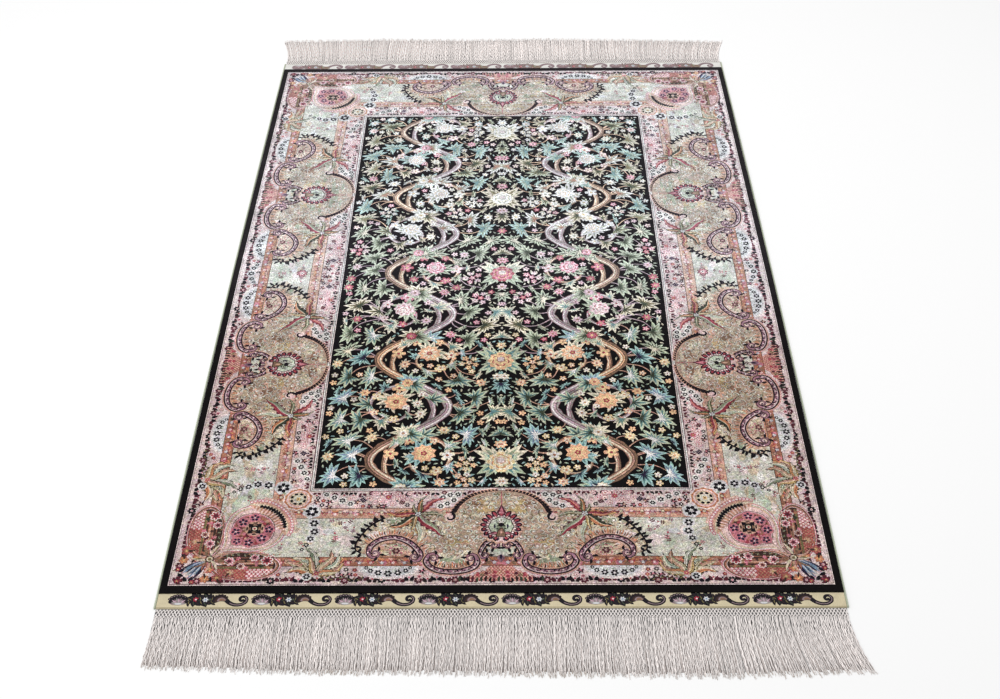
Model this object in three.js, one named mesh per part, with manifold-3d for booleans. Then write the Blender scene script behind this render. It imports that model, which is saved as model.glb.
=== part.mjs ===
// A fine silk rug lying flat: a knotted pile body with a flat-woven band at each end,
// an overcast cord down each long side, and a knotted fringe beyond each band.
// Units are millimetres. X runs across the rug, Y along it (the nearer end is -Y), Z is up.
import * as THREE from "three";
import { mergeVertices } from "three/addons/utils/BufferGeometryUtils.js";
import Module from "manifold-3d";

const wasm = await Module();
wasm.setup();

// Driving sizes of the woven body
const rugWidth = 1000;
const pileLength = 1505;
const pileThickness = 4;
const bandDepth = 26.5;
const bandThickness = 2.2;
const sideBow = 4;
const sideSteps = 24;
const trimMargin = 5;

// Sizes of the side cords and of the fringes
const seamGap = 0.3;
const cordRadius = 1.6;
const cordSides = 8;
const cordSteps = 24;
const fringeThickness = 1.8;
const knotNetDepth = 15;
const teethPerFringe = 72;
const toothGap = 2.4;
const toothWave = 1.2;
const toothStations = [0.36, 0.7, 1];
const splayStart = 250;

const halfPile = pileLength / 2;
const halfWoven = halfPile + bandDepth;

// Each row gives the fringe's length beyond the band at six places from the left edge
// to the right edge, and how far its outermost tips lean outwards.
const fringeEnds = [
  { name: "fringe_front", end: -1, lengths: [103, 112, 114, 117, 120, 112], leanLeft: 1, leanRight: 21 },
  { name: "fringe_back", end: 1, lengths: [112, 118, 114, 116, 110, 99], leanLeft: 18, leanRight: 20 },
];

const pileMaterial = new THREE.MeshStandardMaterial({ color: 0x2a2427, roughness: 0.6, metalness: 0 });
const cordMaterial = new THREE.MeshStandardMaterial({ color: 0xb9bdae, roughness: 0.6, metalness: 0 });
const fringeMaterial = new THREE.MeshStandardMaterial({ color: 0xd2c8c3, roughness: 0.55, metalness: 0 });

// Half the woven width at a place along the rug: the long sides bow out a little mid-way.
function halfWidthAt(y) {
  return rugWidth / 2 + sideBow * (1 - (y / halfWoven) ** 2);
}

// The woven outline between two places along the rug, bowed sides included.
function wovenShape(yNear, yFar, steps) {
  const right = [];
  const left = [];
  for (let i = 0; i <= steps; i += 1) {
    const y = yNear + ((yFar - yNear) * i) / steps;
    right.push(new THREE.Vector2(halfWidthAt(y), y));
    left.unshift(new THREE.Vector2(-halfWidthAt(y), y));
  }
  return new THREE.Shape([...right, ...left]);
}

function slab(shape, thickness) {
  return new THREE.ExtrudeGeometry(shape, { depth: thickness, bevelEnabled: false });
}

// A closed geometry as a solid that can be joined to another.
function toSolid(geometry) {
  const bare = geometry.clone();
  bare.deleteAttribute("normal");
  bare.deleteAttribute("uv");
  const merged = mergeVertices(bare, 1e-4);
  return new wasm.Manifold(
    new wasm.Mesh({
      numProp: 3,
      vertProperties: new Float32Array(merged.attributes.position.array),
      triVerts: new Uint32Array(merged.index.array),
    }),
  );
}

function toGeometry(solid) {
  const mesh = solid.getMesh();
  const geometry = new THREE.BufferGeometry();
  geometry.setAttribute("position", new THREE.BufferAttribute(new Float32Array(mesh.vertProperties), 3));
  geometry.setIndex(new THREE.BufferAttribute(new Uint32Array(mesh.triVerts), 1));
  geometry.computeVertexNormals();
  return geometry;
}

// The pile and both flat-woven bands are one cloth, thinner where there is no pile: its
// long section runs straight across the rug and is trimmed to the bowed outline.
function rugBody() {
  const section = new THREE.Shape([
    new THREE.Vector2(-halfWoven, 0),
    new THREE.Vector2(halfWoven, 0),
    new THREE.Vector2(halfWoven, bandThickness),
    new THREE.Vector2(halfPile, bandThickness),
    new THREE.Vector2(halfPile, pileThickness),
    new THREE.Vector2(-halfPile, pileThickness),
    new THREE.Vector2(-halfPile, bandThickness),
    new THREE.Vector2(-halfWoven, bandThickness),
  ]);
  const across = rugWidth + 2 * sideBow + 2 * trimMargin;
  const sectionRun = slab(section, across);
  const alongY = new THREE.Vector3(0, 1, 0);
  const alongZ = new THREE.Vector3(0, 0, 1);
  const alongX = new THREE.Vector3(1, 0, 0);
  sectionRun.applyMatrix4(new THREE.Matrix4().makeBasis(alongY, alongZ, alongX));
  sectionRun.translate(-across / 2, 0, 0);

  const trimHalf = halfWoven + trimMargin;
  const outline = slab(wovenShape(-trimHalf, trimHalf, sideSteps), pileThickness + 2 * trimMargin);
  outline.translate(0, 0, -trimMargin);
  const solid = toSolid(sectionRun).intersect(toSolid(outline));
  return new THREE.Mesh(toGeometry(solid), pileMaterial);
}

// The overcast cord that binds a long side, following its bow just outside it.
function sideCord(side) {
  const points = [];
  for (let i = 0; i <= cordSteps; i += 1) {
    const y = -halfWoven + (2 * halfWoven * i) / cordSteps;
    points.push(new THREE.Vector3(side * (halfWidthAt(y) + seamGap + cordRadius), y, cordRadius));
  }
  const section = new THREE.Shape();
  for (let i = 0; i < cordSides; i += 1) {
    const angle = (2 * Math.PI * (i + 0.5)) / cordSides;
    const corner = new THREE.Vector2(Math.cos(angle), Math.sin(angle)).multiplyScalar(cordRadius);
    if (i === 0) section.moveTo(corner.x, corner.y);
    else section.lineTo(corner.x, corner.y);
  }
  section.closePath();
  const path = new THREE.CatmullRomCurve3(points);
  const geometry = new THREE.ExtrudeGeometry(section, { steps: cordSteps, extrudePath: path });
  return new THREE.Mesh(geometry, cordMaterial);
}

// A value read off a row of evenly spaced numbers, eased from one to the next.
function alongRow(row, share) {
  const place = share * (row.length - 1);
  const before = Math.min(Math.floor(place), row.length - 2);
  return THREE.MathUtils.lerp(row[before], row[before + 1], place - before);
}

// The fringe as one comb: the knotted net is its solid heading, and bunches of
// strands are its teeth, wavy, a little uneven in length and leaning out at the ends.
function fringe({ end, lengths, leanLeft, leanRight }) {
  const half = halfWidthAt(halfWoven);
  const pitch = (2 * half) / teethPerFringe;

  // Where a strand that starts at x has got to, a share of the way down to the tips.
  function strandPoint(x, share) {
    const depth = alongRow(lengths, (x + half) / (2 * half)) * (1 + 0.025 * Math.sin(x * 0.37));
    const lean = x < 0 ? -leanLeft : leanRight;
    const outward = lean * THREE.MathUtils.smoothstep(Math.abs(x), splayStart, half);
    const sway = toothWave * Math.sin(x * 0.011 + share * 5);
    const down = knotNetDepth + (depth - knotNetDepth) * share;
    return new THREE.Vector2(x + (outward * share + sway) * share, down);
  }

  const outline = [new THREE.Vector2(half, 0), new THREE.Vector2(-half, 0)];
  for (let i = 0; i < teethPerFringe; i += 1) {
    const x0 = -half + i * pitch + (i === 0 ? 0 : toothGap / 2);
    const x1 = -half + (i + 1) * pitch - (i === teethPerFringe - 1 ? 0 : toothGap / 2);
    outline.push(new THREE.Vector2(x0, knotNetDepth));
    for (const share of toothStations) outline.push(strandPoint(x0, share));
    for (const share of [...toothStations].reverse()) outline.push(strandPoint(x1, share));
    outline.push(new THREE.Vector2(x1, knotNetDepth));
  }
  const placed = outline.map(({ x, y }) => new THREE.Vector2(x, end * (halfWoven + seamGap + y)));
  return new THREE.Mesh(slab(new THREE.Shape(placed), fringeThickness), fringeMaterial);
}

const rug = new THREE.Group();
function addPiece(name, mesh) {
  mesh.name = name;
  rug.add(mesh);
}

addPiece("rug_body", rugBody());
addPiece("side_cord_left", sideCord(-1));
addPiece("side_cord_right", sideCord(1));
for (const row of fringeEnds) addPiece(row.name, fringe(row));

// The origin is the middle of the whole footprint, on the surface the rug lies on.
const footprint = new THREE.Box3().setFromObject(rug);
const middle = footprint.getCenter(new THREE.Vector3());
rug.position.set(-middle.x, -middle.y, -footprint.min.z);
rug.updateMatrixWorld(true);

export default rug;
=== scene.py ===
"""A fine silk rug lying flat: a charted pile surface with a bordered pattern, flat-woven
end bands with a leaf scroll, thread-wrapped side cords, and knotted silk fringes.

The pattern is drawn as flat coloured shapes on a chart in millimetres, cut into triangles,
and laid over the rug's top. The cords and fringes are worked out in millimetres too, and
every piece is placed in metres in the rug's own frame."""
import cmath
import math
import random

import bpy
import numpy as np
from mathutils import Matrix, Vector
from mathutils.geometry import delaunay_2d_cdt


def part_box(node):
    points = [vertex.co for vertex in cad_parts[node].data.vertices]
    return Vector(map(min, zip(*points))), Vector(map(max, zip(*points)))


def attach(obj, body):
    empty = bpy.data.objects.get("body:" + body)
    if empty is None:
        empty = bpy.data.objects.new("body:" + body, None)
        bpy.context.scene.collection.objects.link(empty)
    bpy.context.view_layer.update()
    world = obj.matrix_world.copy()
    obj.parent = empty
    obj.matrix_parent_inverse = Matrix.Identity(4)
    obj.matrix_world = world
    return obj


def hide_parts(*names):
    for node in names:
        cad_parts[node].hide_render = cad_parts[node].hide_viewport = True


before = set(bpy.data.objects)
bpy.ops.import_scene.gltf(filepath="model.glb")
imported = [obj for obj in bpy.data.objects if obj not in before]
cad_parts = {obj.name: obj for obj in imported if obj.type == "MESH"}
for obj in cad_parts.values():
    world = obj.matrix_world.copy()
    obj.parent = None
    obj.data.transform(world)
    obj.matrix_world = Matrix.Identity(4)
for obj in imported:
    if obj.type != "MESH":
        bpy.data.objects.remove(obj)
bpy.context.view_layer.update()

TAU = 2 * math.pi
MM = 0.001


# Dyed silk colours, as red, green and blue out of 255.
SILKS = {
    "black": (13, 9, 11),
    "ink": (22, 18, 26),
    "field black": (12, 9, 12),
    "night brown": (42, 28, 30),
    "navy": (38, 30, 56),
    "dark brown": (62, 42, 38),
    "pink ground": (211, 190, 188),
    "petal pink": (226, 209, 206),
    "pale pink": (220, 188, 184),
    "rose": (190, 108, 122),
    "crimson": (158, 44, 62),
    "wine": (84, 30, 44),
    "ivory": (200, 199, 186),
    "white": (222, 220, 216),
    "ice": (206, 206, 208),
    "cream": (210, 196, 170),
    "sand": (172, 148, 127),
    "light sand": (196, 180, 154),
    "tan": (132, 100, 78),
    "khaki": (180, 154, 108),
    "terracotta": (156, 98, 74),
    "salmon": (198, 152, 130),
    "orange": (196, 122, 76),
    "gold": (206, 170, 108),
    "mauve": (140, 100, 116),
    "light mauve": (190, 160, 172),
    "olive": (112, 102, 66),
    "moss": (56, 64, 50),
    "sage": (140, 150, 124),
    "pale green": (182, 192, 172),
    "teal": (92, 134, 136),
    "steel blue": (108, 134, 162),
    "band cream": (203, 191, 160),
    "taupe": (140, 120, 124),
    "grey": (150, 142, 140),
    "fringe silver": (244, 237, 234),
    "fringe tip": (150, 124, 92),
    # painted shade: the dye of the warp ends that show as dark gaps between the fringe's threads
    "fringe painted shade": (200, 190, 186),
    "scroll pink": (156, 108, 124),
    "sand pink": (186, 150, 132),
    "bright cream": (228, 218, 192),
    "bright sage": (186, 198, 170),
    "bright teal": (158, 196, 192),
    "peach": (230, 174, 132),
    "pale gold": (228, 200, 146),
    "bright pink": (238, 192, 202),
    "hot rose": (206, 104, 130),
    "snow": (230, 227, 225),
    "cord light": (196, 202, 176),
    "cord dark": (150, 158, 140),
}


# Drawing in millimetres on a flat chart: a point is a complex number, x across and y up.
# A motif is a list of (colour name, outline), each painted over those before it.


def polar(radius, angle):
    return radius * cmath.exp(1j * angle)


def placed(motif, at=0, turn=0.0, flip=False):
    """A motif turned and moved; flip mirrors it first across its own x axis."""
    spin = polar(1.0, turn)
    return [(colour, (np.conj(shape) if flip else shape) * spin + at) for colour, shape in motif]


def swapped(motif):
    """A motif mirrored across the corner's diagonal, so that x and y change places."""
    return [(colour, 1j * np.conj(shape)) for colour, shape in motif]


def mirrored(motif):
    """A motif and its mirror image across the upright line x = 0."""
    return motif + [(colour, -np.conj(shape)) for colour, shape in motif]


def ring(motif, count, radius=0.0, start=0.0, spread=TAU):
    """Copies of a motif round the origin, each turned outwards."""
    turns = [start + spread * k / count for k in range(count)]
    return [part for turn in turns for part in placed(motif, polar(radius, turn), turn)]


def nested(outline, middle, rows):
    """An outline painted again and again, each time in another colour and at another share."""
    return [(colour, middle + (outline - middle) * share) for colour, share in rows]


def smooth(points, steps=4):
    """A path of short straight runs through given points."""
    points = np.asarray(points, complex)
    padded = np.concatenate([[2 * points[0] - points[1]], points, [2 * points[-1] - points[-2]]])
    path = []
    for a, b, c, d in zip(padded, padded[1:], padded[2:], padded[3:]):
        for t in np.arange(steps) / steps:
            path.append(0.5 * (2 * b + (c - a) * t + (2 * a - 5 * b + 4 * c - d) * t * t
                               + (3 * b - a - 3 * c + d) * t**3))
    return np.array(path + [points[-1]])


def normals(path):
    """Unit vectors to the left of a path at each of its points."""
    run = np.gradient(path)
    return 1j * run / np.maximum(np.abs(run), 1e-9)


def offset(path, by, first=0, last=None):
    """A path moved to its own left, all of it or from one of its points to another."""
    return (path + by * normals(path))[first:last]


def band(path, width):
    """A stroke of one or a varying width along a path."""
    path = np.asarray(path, complex)
    side = normals(path) * np.asarray(width) / 2
    return np.concatenate([path + side, (path - side)[::-1]])


def spaced(path, step, start=0.0):
    """Places along a path at even steps, each with the path's direction there."""
    path = np.asarray(path, complex)
    lengths = np.concatenate([[0], np.cumsum(np.abs(np.diff(path)))])
    found = []
    for s in np.arange(start, lengths[-1], step):
        at = np.interp(s, lengths, path.real) + 1j * np.interp(s, lengths, path.imag)
        k = min(np.searchsorted(lengths, s, side="right"), len(path) - 1)
        found.append((at, cmath.phase(path[k] - path[k - 1])))
    return found


def box(x0, y0, x1, y1):
    return np.array([x0 + 1j * y0, x1 + 1j * y0, x1 + 1j * y1, x0 + 1j * y1])


def oval(rx, ry=None, points=8):
    angles = TAU * (np.arange(points) + 0.5) / points
    return rx * np.cos(angles) + 1j * (rx if ry is None else ry) * np.sin(angles)


def curl(radius, start, turns, points, tight):
    """A path that winds inwards from the given radius to a tight eye."""
    share = np.linspace(0, 1, points)
    return radius * (1 - (1 - tight) * share) * np.exp(1j * (start + TAU * turns * share))


def curled(path, eye, turns, points):
    """A path carried on, inwards, into a spiral round an eye beside its end."""
    out = path[-1] - eye
    way = 1 if (out / (path[-1] - path[-2])).imag < 0 else -1
    return np.concatenate([path, eye + curl(abs(out), cmath.phase(out), turns * way, points, 0.3)[1:]])


def blade(length, width, bend=0.0, points=4, fat=0.45):
    """A plain leaf or petal from the origin along x, bent to one side, fattest at a share."""
    t = np.linspace(0, 1, points + 2)
    axis = length * t * np.exp(1j * bend * t)
    side = normals(axis) * (np.sin(np.pi * t ** (math.log(0.5) / math.log(fat))) * width / 2)
    return np.concatenate([axis + side, (axis - side)[-2:0:-1]])


def leaf_at(at, turn, dye, *form):
    """One leaf or petal at a place; its form is what blade takes."""
    return placed([(dye, blade(*form))], at, turn)


def lobed(radius, lobes, notch=0.55, turn=0.0):
    """A round outline cut into rounded petals, four points to each."""
    share = np.arange(4 * lobes) / (4 * lobes)
    reach = np.tile([notch, 0.93, 1.0, 0.93], lobes)
    return radius * reach * np.exp(1j * (TAU * share + turn))


def patch(wide, high, notch, turn):
    """A five-lobed blot, its half width and half height given."""
    return lobed(1, 5, notch, turn).real * wide + 1j * lobed(high, 5, notch, turn).imag


def spiky(radius, points, notch, turn=0.0):
    """A star-shaped outline."""
    reach = np.tile([1.0, notch], points)
    return radius * reach * np.exp(1j * (TAU * np.arange(2 * points) / (2 * points) + turn))


def flower(radius, petals, petal, heart, edge=None):
    """A round flower: an optional rim, its petals, and a heart."""
    motif = [(edge, lobed(radius, petals, 0.7))] if edge else []
    return motif + [(petal, lobed(radius * (0.8 if edge else 1.0), petals, 0.5)),
                    (heart, oval(radius * 0.28, points=6))]


def dark_flower(radius, halo=None, heart="white", petal="ink", petals=6):
    """The small ring of dark petals round a light eye that dots every border."""
    motif = [(halo, lobed(radius * 1.5, 6, 0.85))] if halo else []
    motif += ring([(petal, oval(radius * 0.42, radius * 0.37, 5))], petals, radius * 0.66)
    return motif + [(heart, oval(radius * 0.22, points=6))]


def sprig(length, stem, leaf, bud, leaves=2, reach=0.32):
    """A short stem along x with paired leaves and a bud at its tip."""
    motif = [(stem, band([0, length * 0.6, length], 0.8))]
    for k in range(leaves):
        foot = length * (0.2 + 0.55 * k / leaves)
        for side in (1, -1):
            motif += leaf_at(foot, side * 0.95, leaf, length * reach, length * 0.2, 0.3 * side, 2)
    return motif + [(bud, blade(length * 0.34, length * 0.24, 0, 3) + length * 0.85)]


def streaked_leaf(length, width, bend, rim, near, far, rib):
    """A long wavy leaf in lengthwise streaks: a toothed rim, two body dyes and a pale rib."""
    t = np.linspace(0, 1, 13)
    axis = length * t * np.exp(1j * bend * t) * (1 + 0.06j * np.sin(8 * t))
    out = normals(axis) * (np.sin(np.pi * t**0.75) * width / 2 + 0.3)
    ragged = 1.0 + 0.3 * np.tile([1, -1], 7)[:13]
    motif = [(rim, np.concatenate([axis + out * ragged, (axis - out * ragged[::-1])[::-1]]))]
    for dye, side in ((near, 1), (far, -1)):
        middle = axis[:-1] + 0.42 * side * out[:-1]
        motif.append((dye, band(middle, 0.66 * np.abs(out[:-1]) + 0.2)))
    motif.append((rim, band(axis[1:-2] + 0.45 * out[1:-2], 0.8)))
    motif.append((rim, band(axis[2:-3] - 0.5 * out[2:-3], 0.6)))
    motif.append((rib, band(axis[:-2], np.linspace(1.5, 0.6, 11))))
    return motif


def streaked_leaves(rows):
    """Streaked leaves that spring from one place: each row has a direction in degrees, then
    what streaked_leaf takes."""
    motif = []
    for degrees, *form in rows:
        motif += placed(streaked_leaf(*form), 0, math.radians(degrees))
    return motif


def fish_scales(x0, y0, x1, y1, step, dyes, inside):
    """Rows of overlapping scales over a box, kept where inside(point) holds: a rim, a fill
    and a dot each."""
    motif = []
    rise = step * 0.62
    for row in range(int((y1 - y0) / rise) + 1, -1, -1):
        for k in range(int((x1 - x0) / step) + 2):
            at = x0 + step * (k + 0.5 * (row % 2)) + 1j * (y0 + row * rise)
            if inside(at):
                forms = (oval(step * 0.56, step * 0.5, 7), oval(step * 0.4, step * 0.36, 7),
                         oval(step * 0.13, points=4))
                motif += [(dye, form + at) for dye, form in zip(dyes, forms)]
    return motif


def scalloped(path, size, rim, fill):
    """A row of little scallops along a path."""
    motif = []
    scallop = [(rim, oval(size, size * 0.9, 7)), (fill, oval(size * 0.6, size * 0.52, 6))]
    for at, angle in spaced(path, size * 1.5, size * 0.5):
        motif += placed(scallop, at, angle)
    return motif


def inside_outline(outline):
    """A test of whether a point lies inside an outline."""
    a = np.asarray(outline)
    b = np.roll(a, -1)

    def test(p):
        crosses = (a.imag > p.imag) != (b.imag > p.imag)
        rise = np.where(crosses, b.imag - a.imag, 1)
        x = a.real + (p.imag - a.imag) * (b.real - a.real) / rise
        return bool(np.count_nonzero(crosses & (p.real < x)) % 2)

    return test


# The chart is one quarter of the pile: its outer corner at the origin, x along the end
# and y along the side. A border's own coordinates are s, along it from the middle of a
# cartouche, and v, inwards from the rug's edge.
END_HALF = 500.0
SIDE_HALF = 752.5
BORDER = 207.0
UNIT_MIDDLE = 498.0

# Bars and lines that run all round: colour, distance in from the sides and from the ends.
FRAME_LINES = [
    ("black", 0, 0),
    ("petal pink", 10.4, 13.6),
    ("wine", 11.8, 15.2),
    ("pink ground", 12.6, 16.2),
    ("dark brown", 49.2, 49.2),
    ("terracotta", 50.2, 50.2),
    ("dark brown", 66.6, 66.6),
    ("ivory", 67.6, 67.6),
    ("dark brown", 143.6, 143.6),
    ("salmon", 144.5, 144.5),
    ("dark brown", 164.0, 164.0),
    ("pink ground", 165.0, 165.0),
    ("wine", 200.2, 200.2),
    ("white", 201.2, 201.2),
    ("ink", 203.4, 203.4),
    ("petal pink", 204.4, 204.4),
    ("field black", 205.8, 205.8),
]


def scroll_band(points, eye_at_start, eye_at_end, width):
    """A mauve scroll, edged in ink on salmon and dashed along, that curls in at both ends."""
    body = smooth(points, 3)
    path = body
    for eye in (eye_at_end, eye_at_start):
        path = curled(path, eye, 1.15, 11)[::-1]
    last = len(path) - 1
    taper = np.interp(np.arange(len(path)), [0, 4, 12, last - 12, last - 4, last],
                      [0.12, 0.2, 1, 1, 0.2, 0.12])
    ends = ((eye_at_start, body[0]), (eye_at_end, body[-1]))
    motif = []
    for colour, share in (("salmon", 1.1), ("pale pink", 0.9)):
        motif += [(colour, oval(abs(eye - end) * share, points=10) + eye) for eye, end in ends]
    for colour, extra, least in (("salmon", 6.6, 0.2), ("ink", 3.8, 3.2), ("mauve", -0.6, 0.2),
                                 ("scroll pink", -2.8, 0.2)):
        motif.append((colour, band(path, np.maximum((width + extra) * taper, least))))
    for k, (at, angle) in enumerate(spaced(body, 3.6, 1.4)):
        dash, long = (("ink", 6.2), ("petal pink", 3.2), ("ink", 4.8))[k % 3]
        motif += leaf_at(at, angle + (0.6 if k % 2 else -0.5), dash, long, 2.7, 0.3, 2)
    motif.append(("petal pink", band(offset(body, -0.28 * width, 2, -2), 0.8)))
    for eye, end in ends:
        motif.append(("ink", oval(1.5, points=5) + eye))
        away = cmath.phase(eye - end)
        for turn in (-0.9, 0.0, 0.9):
            at = eye + polar(abs(eye - end) * 0.66, away + turn)
            motif += leaf_at(at, away + 1.5 * turn, "ink", 10.5, 4.8, 0.5 * turn, 3)
    return motif


def garland(path, leaf_length):
    """A dark stem crowded with overlapping leaves, most of them on its outer side."""
    motif = [("ink", band(path, np.linspace(3.6, 2.4, len(path))))]
    for k, (at, angle) in enumerate(spaced(path, leaf_length * 0.42, 1.0)):
        side = -1 if k % 3 == 1 else 1
        turn = angle + (0.75 + 0.25 * (k % 2)) * side
        long = leaf_length * (1.0, 0.7, 1.2, 0.9)[k % 4]
        motif += leaf_at(at, turn, "ink", long, leaf_length * 0.5, 0.6 * side, 3)
        if side < 0:
            motif.append(("rose", oval(0.9, points=4) + at + polar(leaf_length * 0.9, angle + 1.2)))
    return motif


def scalloped_line(path, small, large):
    """A dark line that swells from small to large, made of overlapping scallops."""
    step = 5.4
    sizes = np.linspace(small, large, len(path))
    motif = [("salmon", band(offset(path, 0.5 * sizes), sizes * 2.2)), ("ink", band(path, sizes * 0.42))]
    for k, (at, angle) in enumerate(spaced(path, step, 1.0)):
        size = small + (large - small) * min(k * step / np.abs(np.diff(path)).sum(), 1)
        foot = at + polar(0.12 * size, angle + math.pi / 2)
        for dye, share in (("ink", 1.0), ("night brown", 0.5)):
            motif += leaf_at(foot, angle + 0.5, dye, 2.0 * size * share, 1.3 * size * share, 0.35, 3)
    return motif


# Leaves of the crosses: direction in degrees, length, width, bend, rim, two body dyes and rib.
CROSS_LEAVES = [
    (-104, 62, 17, 0.16, "tan", "pale green", "cream", "ivory"),
    (88, 42, 6, 0.30, "night brown", "taupe", "sage", "cream"),
    (7, 52, 11, -0.16, "moss", "orange", "gold", "olive"),
    (172, 42, 7, 0.25, "moss", "olive", "sage", "cream"),
    (-9, 48, 9, 0.22, "wine", "crimson", "orange", "salmon"),
    (-46, 52, 14, 0.22, "night brown", "moss", "orange", "cream"),
    (-62, 36, 8, -0.30, "dark brown", "olive", "gold", "cream"),
    (-120, 62, 15, -0.26, "wine", "crimson", "sage", "ivory"),
    (122, 54, 10, 0.30, "wine", "crimson", "rose", "orange"),
    (108, 32, 9, -0.20, "night brown", "olive", "orange", "sage"),
    (46, 22, 7, 0.40, "night brown", "sage", "olive", "cream"),
]


def palmette():
    """The crimson lotus at the heart of each cartouche, tip pointing to the field."""
    motif = [("salmon", lobed(36, 16, 0.9)), ("pale pink", lobed(33, 16, 0.88))]
    for k in range(17):
        a = math.radians(-70 + 20 * k)
        long = 13 + 2.5 * math.cos(a - math.pi / 2)
        petal = [("ink", blade(long, 9, 0.25, 3, 0.6)), ("crimson", blade(long - 3, 4.8, 0.2, 3, 0.6))]
        motif += placed(petal, polar(20, a), a)
        motif += leaf_at(polar(20.5, a + 0.17), a + 0.17, "navy", 9, 3.4, 0, 2, 0.6)
    motif += [("wine", np.array([-9 + 26j, -4 + 36j, 46j, 4 + 36j, 9 + 26j])),
              ("rose", np.array([-4.5 + 26j, -2 + 33j, 41j, 2 + 33j, 4.5 + 26j]))]
    motif += ring([("wine", blade(10, 6.4, 0, 3, 0.6)), ("petal pink", blade(7, 3.6, 0, 2, 0.6))],
                  14, 16.4, math.radians(-56), math.radians(315))
    motif += [("night brown", lobed(20.5, 9, 0.92)), ("pale green", lobed(19, 9, 0.9))]
    upright = math.pi / 2
    for side in (1, -1):
        motif += placed(streaked_leaf(27, 12, 0.5 * side, "moss", "sage", "ivory", "olive"),
                        -14j - 2 * side, upright - 0.32 * side)
        for dye, long, wide, points in (("wine", 15, 7, 3), ("rose", 12, 3.6, 2)):
            motif += leaf_at(-15j + 3 * side, upright - 1.05 * side, dye, long, wide, -0.5 * side, points)
        motif += leaf_at(-5j + 9 * side, upright - 0.4 * side, "navy", 11, 3.4, 0.4 * side, 2)
    foot = smooth([-8.5 - 21j, -6.5 - 12j, -3.4 - 5j, 0 - 2j, 3.4 - 5j, 6.5 - 12j, 8.5 - 21j], 3)
    motif += nested(foot, -12j, (("dark brown", 1), ("tan", 0.78)))
    for y, dye, *form in ((-16, "salmon", 9, 3.4, 0, 2), (8, "white", 11, 7, 0, 3), (9, "sage", 7, 3, 0, 2)):
        motif += leaf_at(1j * y, upright, dye, *form)
    return motif + [("ink", oval(4.6, 4.2, 9) + 3.5j)]


# Half of the sand ground, from the top of the dome round to the palmette's foot.
CARTOUCHE = smooth([0 + 200j, 18 + 198j, 34 + 194j, 52 + 183j, 65 + 168j, 73 + 152j, 88 + 154j, 104 + 160j,
                    128 + 152j, 156 + 150j, 180 + 143j, 201 + 127j, 215 + 107j, 222 + 90j, 215 + 76j,
                    201 + 74j, 199 + 87j, 183 + 101j, 161 + 106j, 140 + 97j, 125 + 79j, 115 + 58j, 98 + 43j,
                    74 + 38j, 50 + 43j, 35 + 58j, 27 + 78j, 14 + 96j, 0 + 98j], 3)
CARTOUCHE_WING = smooth([128 + 150j, 160 + 149j, 182 + 141j, 201 + 125j, 213 + 104j, 215 + 82j, 205 + 78j,
                         196 + 95j, 180 + 104j, 160 + 108j, 144 + 104j, 132 + 122j], 3)
ARCH = smooth([121 + 68j, 128 + 80j, 142 + 92j, 160 + 98.5j, 178 + 95j, 190 + 84j, 192 + 68j], 3)
ARCH_MIDDLE = 158 + 82j
SCROLL_UNDER_DOME = [36 + 63j, 36 + 55j, 41 + 47j, 55 + 40.5j, 74 + 38j, 94 + 41j, 107 + 49j, 112 + 58j,
                     111 + 65j]
SCROLL_OUTER = [120 + 66j, 123 + 77j, 138 + 95j, 160 + 105j, 182 + 101j, 196 + 89j, 199 + 76j]
SCROLL_AT_FOOT = [8 + 96j, 15 + 98j, 23 + 92j, 29 + 81j, 32 + 70j]
DOME_LINE = [5 + 200j, 18 + 198.5j, 34 + 194j, 51 + 184j, 64 + 169j, 71 + 154j]
OUTER_GARLAND = [178 + 145j, 192 + 136j, 204 + 123j, 213 + 108j, 219 + 94j, 219 + 81j, 210 + 74j]
HOOK_EYE = 79 + 145j

# Soft patches beneath the curls: how many, half widths, half heights and dyes.
GROUND_PATCHES = [
    (44, (12, 24), (6, 10), ["khaki", "cream", "petal pink", "tan", "sage", "khaki", "sand pink", "cream"]),
    (96, (7, 16), (3, 6), ["light sand", "cream", "tan", "salmon", "cream", "sand pink", "sage"]),
]
HOOK_SHADOWS = ["dark brown", "tan", "wine", "tan", "dark brown", "moss", "terracotta"]


def scrollwork(outline, step, line, bloom, rng):
    """Soft patches, then light curls with dark shadows, that fill a ground."""
    inside = inside_outline(outline)
    x0, x1 = outline.real.min(), outline.real.max()
    y0, y1 = outline.imag.min(), outline.imag.max()
    motif = []
    for count, widths, heights, dyes in GROUND_PATCHES:
        for _ in range(count):
            at = rng.uniform(x0, x1) + 1j * rng.uniform(y0, y1)
            wide, high = rng.uniform(*widths), rng.uniform(*heights)
            if all(inside(at + q) for q in (wide, -wide, 1j * high, -1j * high)):
                motif.append((rng.choice(dyes), patch(wide, high, 0.7, wide) + at))
    hook = curl(step * 0.5, 0, 0.75, 7, 0.25)
    for row, y in enumerate(np.arange(y0, y1, step * 0.8)):
        for x in np.arange(x0 + (row % 2) * step / 2, x1, step):
            at = x + 1j * y + rng.uniform(-2, 2) + 1j * rng.uniform(-2, 2)
            if not all(inside(at + polar(step * 0.45, q)) for q in (0.5, 2.1, 3.7, 5.3)):
                continue
            turn = rng.uniform(0, TAU)
            flip = rng.random() < 0.5
            shadow = rng.choice(HOOK_SHADOWS)
            motif += placed([(shadow, band(hook * 0.88, 2.5)), (line, band(hook, 1.6))], at, turn, flip)
            motif += leaf_at(at + polar(step * 0.46, turn), turn + 1.2, rng.choice(["olive", "tan", line]),
                             step * 0.5, step * 0.2, 0.6, 2)
            if rng.random() < 0.4:
                motif.append((bloom, lobed(step * 0.15, 4, 0.6, turn) + at))
    return motif


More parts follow.
